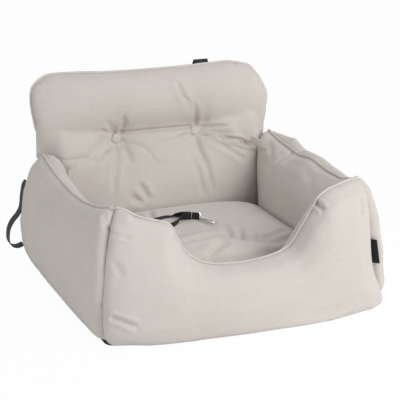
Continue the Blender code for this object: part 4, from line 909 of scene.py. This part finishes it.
# Each of the next three: the value at the middle and at the sides, where it starts to change, and over what
# width.
SKIN_DOWN = (0.072, 0.040, 0.125, 0.035)
SKIN_UP = (0.070, 0.042, 0.205, 0.045)
SKIN_TIGHTNESS = (24, 7, 0.080, 0.055)
SKIN_HALF_WIDTH = 0.2515
SKIN_STEP = 0.003
SKIN_ROWS = 60
SKIN_THICKNESS = 0.0012
SKIN_BLUR = 4
SKIN_SMOOTHING = (0.4, 1)
SKIN_DEEPEST = 0.004   # how far behind the hinge the skin may lie
SKIN_LIFT = 0.0004
SKIN_TUCK = 0.0020     # how deep the skin's upper and lower edge are tucked into the pads
SKIN_TUCK_START, SKIN_TUCK_RUN = 0.70, 0.30
SIDE_WIDTH = 0.012     # the strip at either side that is drawn back towards the hinge
SIDE_DEPTH = 0.006
SIDE_SHARE = 0.6
PROBE_Y = 0.05         # where the rays start that find the pads' front
TUFT_RIM = 0.0095
TUFT_SLOPE = 0.55
TUFT_PLAY = 0.0006
FRONT_BUTTONS = [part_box(name) for name in ("button_left", "button_right")]
BUTTON_CENTRES = [(low + high) / 2 for low, high in FRONT_BUTTONS]
BUTTON_SEAT = max(high.y for low, high in FRONT_BUTTONS) + TUFT_PLAY


def from_middle(x, middle, side, start, width):
    """A value that changes from the middle of the back to its sides."""
    return middle + (side - middle) * fade((abs(x) - start) / width)


def fold_skin():
    """The front face of the cloth that runs over the fold, drawn in at the two buttons."""
    tree = surface_tree(lower, upper)
    count = int(2 * SKIN_HALF_WIDTH / SKIN_STEP)
    shares = np.linspace(-1, 1, SKIN_ROWS)
    grid = np.empty((count, SKIN_ROWS, 3))
    for i, x in enumerate(np.linspace(-SKIN_HALF_WIDTH, SKIN_HALF_WIDTH, count)):
        heights = np.where(shares > 0, shares * from_middle(x, *SKIN_UP), shares * from_middle(x, *SKIN_DOWN))
        depth = np.full(SKIN_ROWS, FOLD_Y + SKIN_DEEPEST)
        for j, dz in enumerate(heights):
            hit = tree.ray_cast(Vector((x, PROBE_Y, FOLD_Z + dz)), Vector((0, 1, 0)))
            if hit[0] is not None:
                depth[j] = min(hit[0].y, FOLD_Y + SKIN_DEEPEST)
        bridge = from_middle(x, *SKIN_TIGHTNESS) * (heights[:, None] - heights[None, :]) ** 2
        grid[i, :, 0] = x
        grid[i, :, 1] = (depth[None, :] + bridge).min(1)
        grid[i, :, 2] = FOLD_Z + heights
        side = fade((abs(x) - (SKIN_HALF_WIDTH - SIDE_WIDTH)) / SIDE_WIDTH)
        grid[i, :, 1] += side * np.maximum(FOLD_Y - SIDE_DEPTH - grid[i, :, 1], 0) * SIDE_SHARE
    for centre in BUTTON_CENTRES:
        away = np.hypot(grid[:, :, 0] - centre.x, grid[:, :, 2] - centre.z)
        dimple = BUTTON_SEAT - TUFT_SLOPE * np.maximum(away - TUFT_RIM, 0)
        grid[:, :, 1] = np.maximum(grid[:, :, 1], dimple)
    deep = grid[:, :, 1]
    for _ in range(SKIN_BLUR):
        deep[:, 1:-1] = deep[:, 1:-1] * 0.5 + (deep[:, :-2] + deep[:, 2:]) * 0.25
        deep[1:-1] = deep[1:-1] * 0.5 + (deep[:-2] + deep[2:]) * 0.25
    deep += SKIN_TUCK * fade((np.abs(shares) - SKIN_TUCK_START) / SKIN_TUCK_RUN)[None, :] - SKIN_LIFT
    return sheet("backrest_fold_skin", grid.reshape(-1, 3), SKIN_ROWS, LINEN)


skin = fold_skin()
folds(skin, SKIN_FOLD_PIXELS)
relax(skin, *SKIN_SMOOTHING)
thickened(skin, SKIN_THICKNESS)
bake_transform(skin)

# Small pieces

# Each row: the piece, the node that it stands for, its body and material, the size of its mesh, and how
# often it is smoothed.
REFINED = (
    ("button_left_covered", "button_left", "tub", PIPING, 0.0008, 3),
    ("button_right_covered", "button_right", "tub", PIPING, 0.0008, 3),
    ("back_button_left_cap", "back_button_left", "tub", PLASTIC, 0.0007, 3),
    ("back_button_right_cap", "back_button_right", "tub", PLASTIC, 0.0007, 3),
    ("side_tag_cloth", "side_tag", "tub", LABEL, 0.0005, 1),
    ("tether_anchor_patch", "tether_anchor", "tub", BLACK, 0.0006, 2),
    ("tether_keeper_cloth", "tether_keeper", "tub", BLACK, 0.0006, 2),
    ("headrest_strap_webbing", "headrest_strap", "backrest", BLACK, 0.0006, 1),
    ("buckle_strap_webbing", "buckle_strap", "backrest", BLACK, 0.0006, 1),
)
PIECE_SMOOTHING = 0.5
TAB_ACROSS, TAB_TALL = 16, 10
TAB_RISE = 0.4         # how far the lower edge climbs along the tab, in shares of its height
TAB_BULGE = np.array((-0.0010, -0.0045, 0.0006))
TAB_FOOT = 0.4         # the share of the bulge at the lower edge
TAB_THICKNESS = 0.0016
BASE_CORNER = 0.018
BASE_CORNER_STEPS = 8
# Each pair: how far the base's edge lies inside its outline, and at what height.
BASE_PROFILE = (
    (0.008, 0.0002), (0.003, 0.0004), (0.0006, 0.0020), (0.0, 0.0045), (0.0, 0.0085), (0.0006, 0.0105),
    (0.003, 0.0118), (0.008, 0.0120))


def refined(name, node, body, material, size, rounds):
    """The CAD piece with its edges worn round."""
    thing = welded_copy(name, node)
    remesh(thing, size)
    relax(thing, PIECE_SMOOTHING, rounds)
    paint(thing, material)
    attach(thing, body)
    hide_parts(node)
    return thing


def tab(name, node, side, shift):
    """A band of cloth across a corner of the tub, its upper edge standing off."""
    low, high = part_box(node)
    near, far = (low.x, high.x) if side < 0 else (high.x, low.x)
    rise = (high.z - low.z) * TAB_RISE
    points = []
    for i in range(TAB_ACROSS + 1):
        s = i / TAB_ACROSS
        foot = np.array((near + (far - near) * s, low.y + (high.y - low.y) * s, low.z + rise * s))
        for j in range(TAB_TALL + 1):
            t = j / TAB_TALL
            point = foot + np.array((0, 0, high.z - low.z - rise)) * t + np.array(shift)
            points.append(point + TAB_BULGE * math.sin(math.pi * s) * (TAB_FOOT + (1 - TAB_FOOT) * t))
    thing = thickened(sheet(name, points, TAB_TALL + 1, LINEN), TAB_THICKNESS)
    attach(thing, "tub")
    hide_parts(node)


def base():
    """The base in its black cloth, its edges drawn round."""
    low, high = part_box("base_cover")
    rings = []
    for inset, z in BASE_PROFILE:
        ring = []
        for sx, sy, turn in ((1, 1, 0), (-1, 1, 1), (-1, -1, 2), (1, -1, 3)):
            cx, cy = sx * (high.x - BASE_CORNER), sy * (high.y - BASE_CORNER)
            for k in range(BASE_CORNER_STEPS + 1):
                angle = math.pi / 2 * (turn + k / BASE_CORNER_STEPS)
                ring.append((cx + (BASE_CORNER - inset) * math.cos(angle),
                             cy + (BASE_CORNER - inset) * math.sin(angle), z))
        rings.append(ring)
    thing = skinned("base_cloth", rings, BASE)
    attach(thing, "tub")
    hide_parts("base_cover", "base_board")


for row in REFINED:
    refined(*row)
tab("corner_tab_left_cloth", "corner_tab_left", -1, (0, -0.0050, 0.0075))
tab("corner_tab_right_cloth", "corner_tab_right", 1, (0, -0.0010, 0.0015))

tail = refined("buckle_tail_webbing", "buckle_tail", "buckle_male", BLACK, 0.0006, 1)
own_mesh(tail)
base()

for node in ("snap_body", "snap_bolt", "snap_eye"):
    paint(nodes[node], NICKEL)
for node in ("buckle_female", "buckle_male"):
    paint(nodes[node], PLASTIC)

# Stage and light
FLOOR_HALF = 6.0
FLOOR_GLOW = 0.96      # the share of white in what the camera sees of the floor
WORLD_LIGHT = 0.52
LAMP_AIM = Vector((0, 0, 0.15))
# Each row: the lamp, its place, its size and its power in watts.
LAMPS = (
    ("key", (1.1, -1.8, 1.25), (1.5, 1.5), 33),
    ("fill", (-2.2, -0.6, 0.7), (1.6, 1.6), 6.5),
    ("top", (0.1, 0.2, 2.6), (1.8, 1.8), 4),
)


def seen_rays(tree):
    """1 for rays from the camera, straight, mirrored or through something clear, and 0 for the rest."""
    path = tree.nodes.new("ShaderNodeLightPath")
    seen = math_node(tree, "ADD", path.outputs["Is Camera Ray"], path.outputs["Is Glossy Ray"])
    seen = math_node(tree, "ADD", seen, path.outputs["Is Transmission Ray"])
    return math_node(tree, "MINIMUM", seen, 1.0)


def ground(name):
    """A pale floor that keeps the object's shadow and is white to the camera."""
    material, tree, shader = new_material(name)
    cloud = noise(tree, stretched(tree), 3.0)
    tree.links.new(greys(tree, cloud, (0.3, 0.90), (0.7, 0.92)), shader.inputs["Base Color"])
    shader.inputs["Roughness"].default_value = 0.95
    shader.inputs["Specular IOR Level"].default_value = 0.1
    glow = tree.nodes.new("ShaderNodeEmission")
    glow.inputs["Color"].default_value = (1, 1, 1, 1)
    glow.inputs["Strength"].default_value = 1.0
    blend = tree.nodes.new("ShaderNodeMixShader")
    tree.links.new(math_node(tree, "MULTIPLY", seen_rays(tree), FLOOR_GLOW), blend.inputs[0])
    tree.links.new(shader.outputs[0], blend.inputs[1])
    tree.links.new(glow.outputs[0], blend.inputs[2])
    tree.links.new(blend.outputs[0], tree.nodes["Material Output"].inputs["Surface"])
    return material


def add_floor():
    corners = [(x * FLOOR_HALF, y * FLOOR_HALF, 0) for x, y in ((-1, -1), (1, -1), (1, 1), (-1, 1))]
    floor = add_mesh("floor", corners, [(0, 1, 2, 3)], ground("floor_pale"))


def add_world():
    """A white surrounding that lights the object at a lower strength."""
    world = bpy.data.worlds.new("world")
    scene.world = world
    world.use_nodes = True
    tree = world.node_tree
    back = tree.nodes["Background"]
    back.inputs["Color"].default_value = (1, 1, 1, 1)
    strength = tree.nodes.new("ShaderNodeMapRange")
    strength.inputs["To Min"].default_value = WORLD_LIGHT
    strength.inputs["To Max"].default_value = 1.0
    tree.links.new(seen_rays(tree), strength.inputs["Value"])
    tree.links.new(strength.outputs[0], back.inputs["Strength"])


def add_lamp(name, place, size, power):
    data = bpy.data.lights.new(name, "AREA")
    data.shape = "RECTANGLE"
    data.size, data.size_y = size
    data.energy = power
    lamp = bpy.data.objects.new(name, data)
    scene.collection.objects.link(lamp)
    lamp.location = place
    lamp.rotation_mode = "QUATERNION"
    lamp.rotation_quaternion = (LAMP_AIM - Vector(place)).to_track_quat("-Z", "Y")


add_floor()
add_world()
for row in LAMPS:
    add_lamp(*row)

scene.view_settings.view_transform = "Standard"
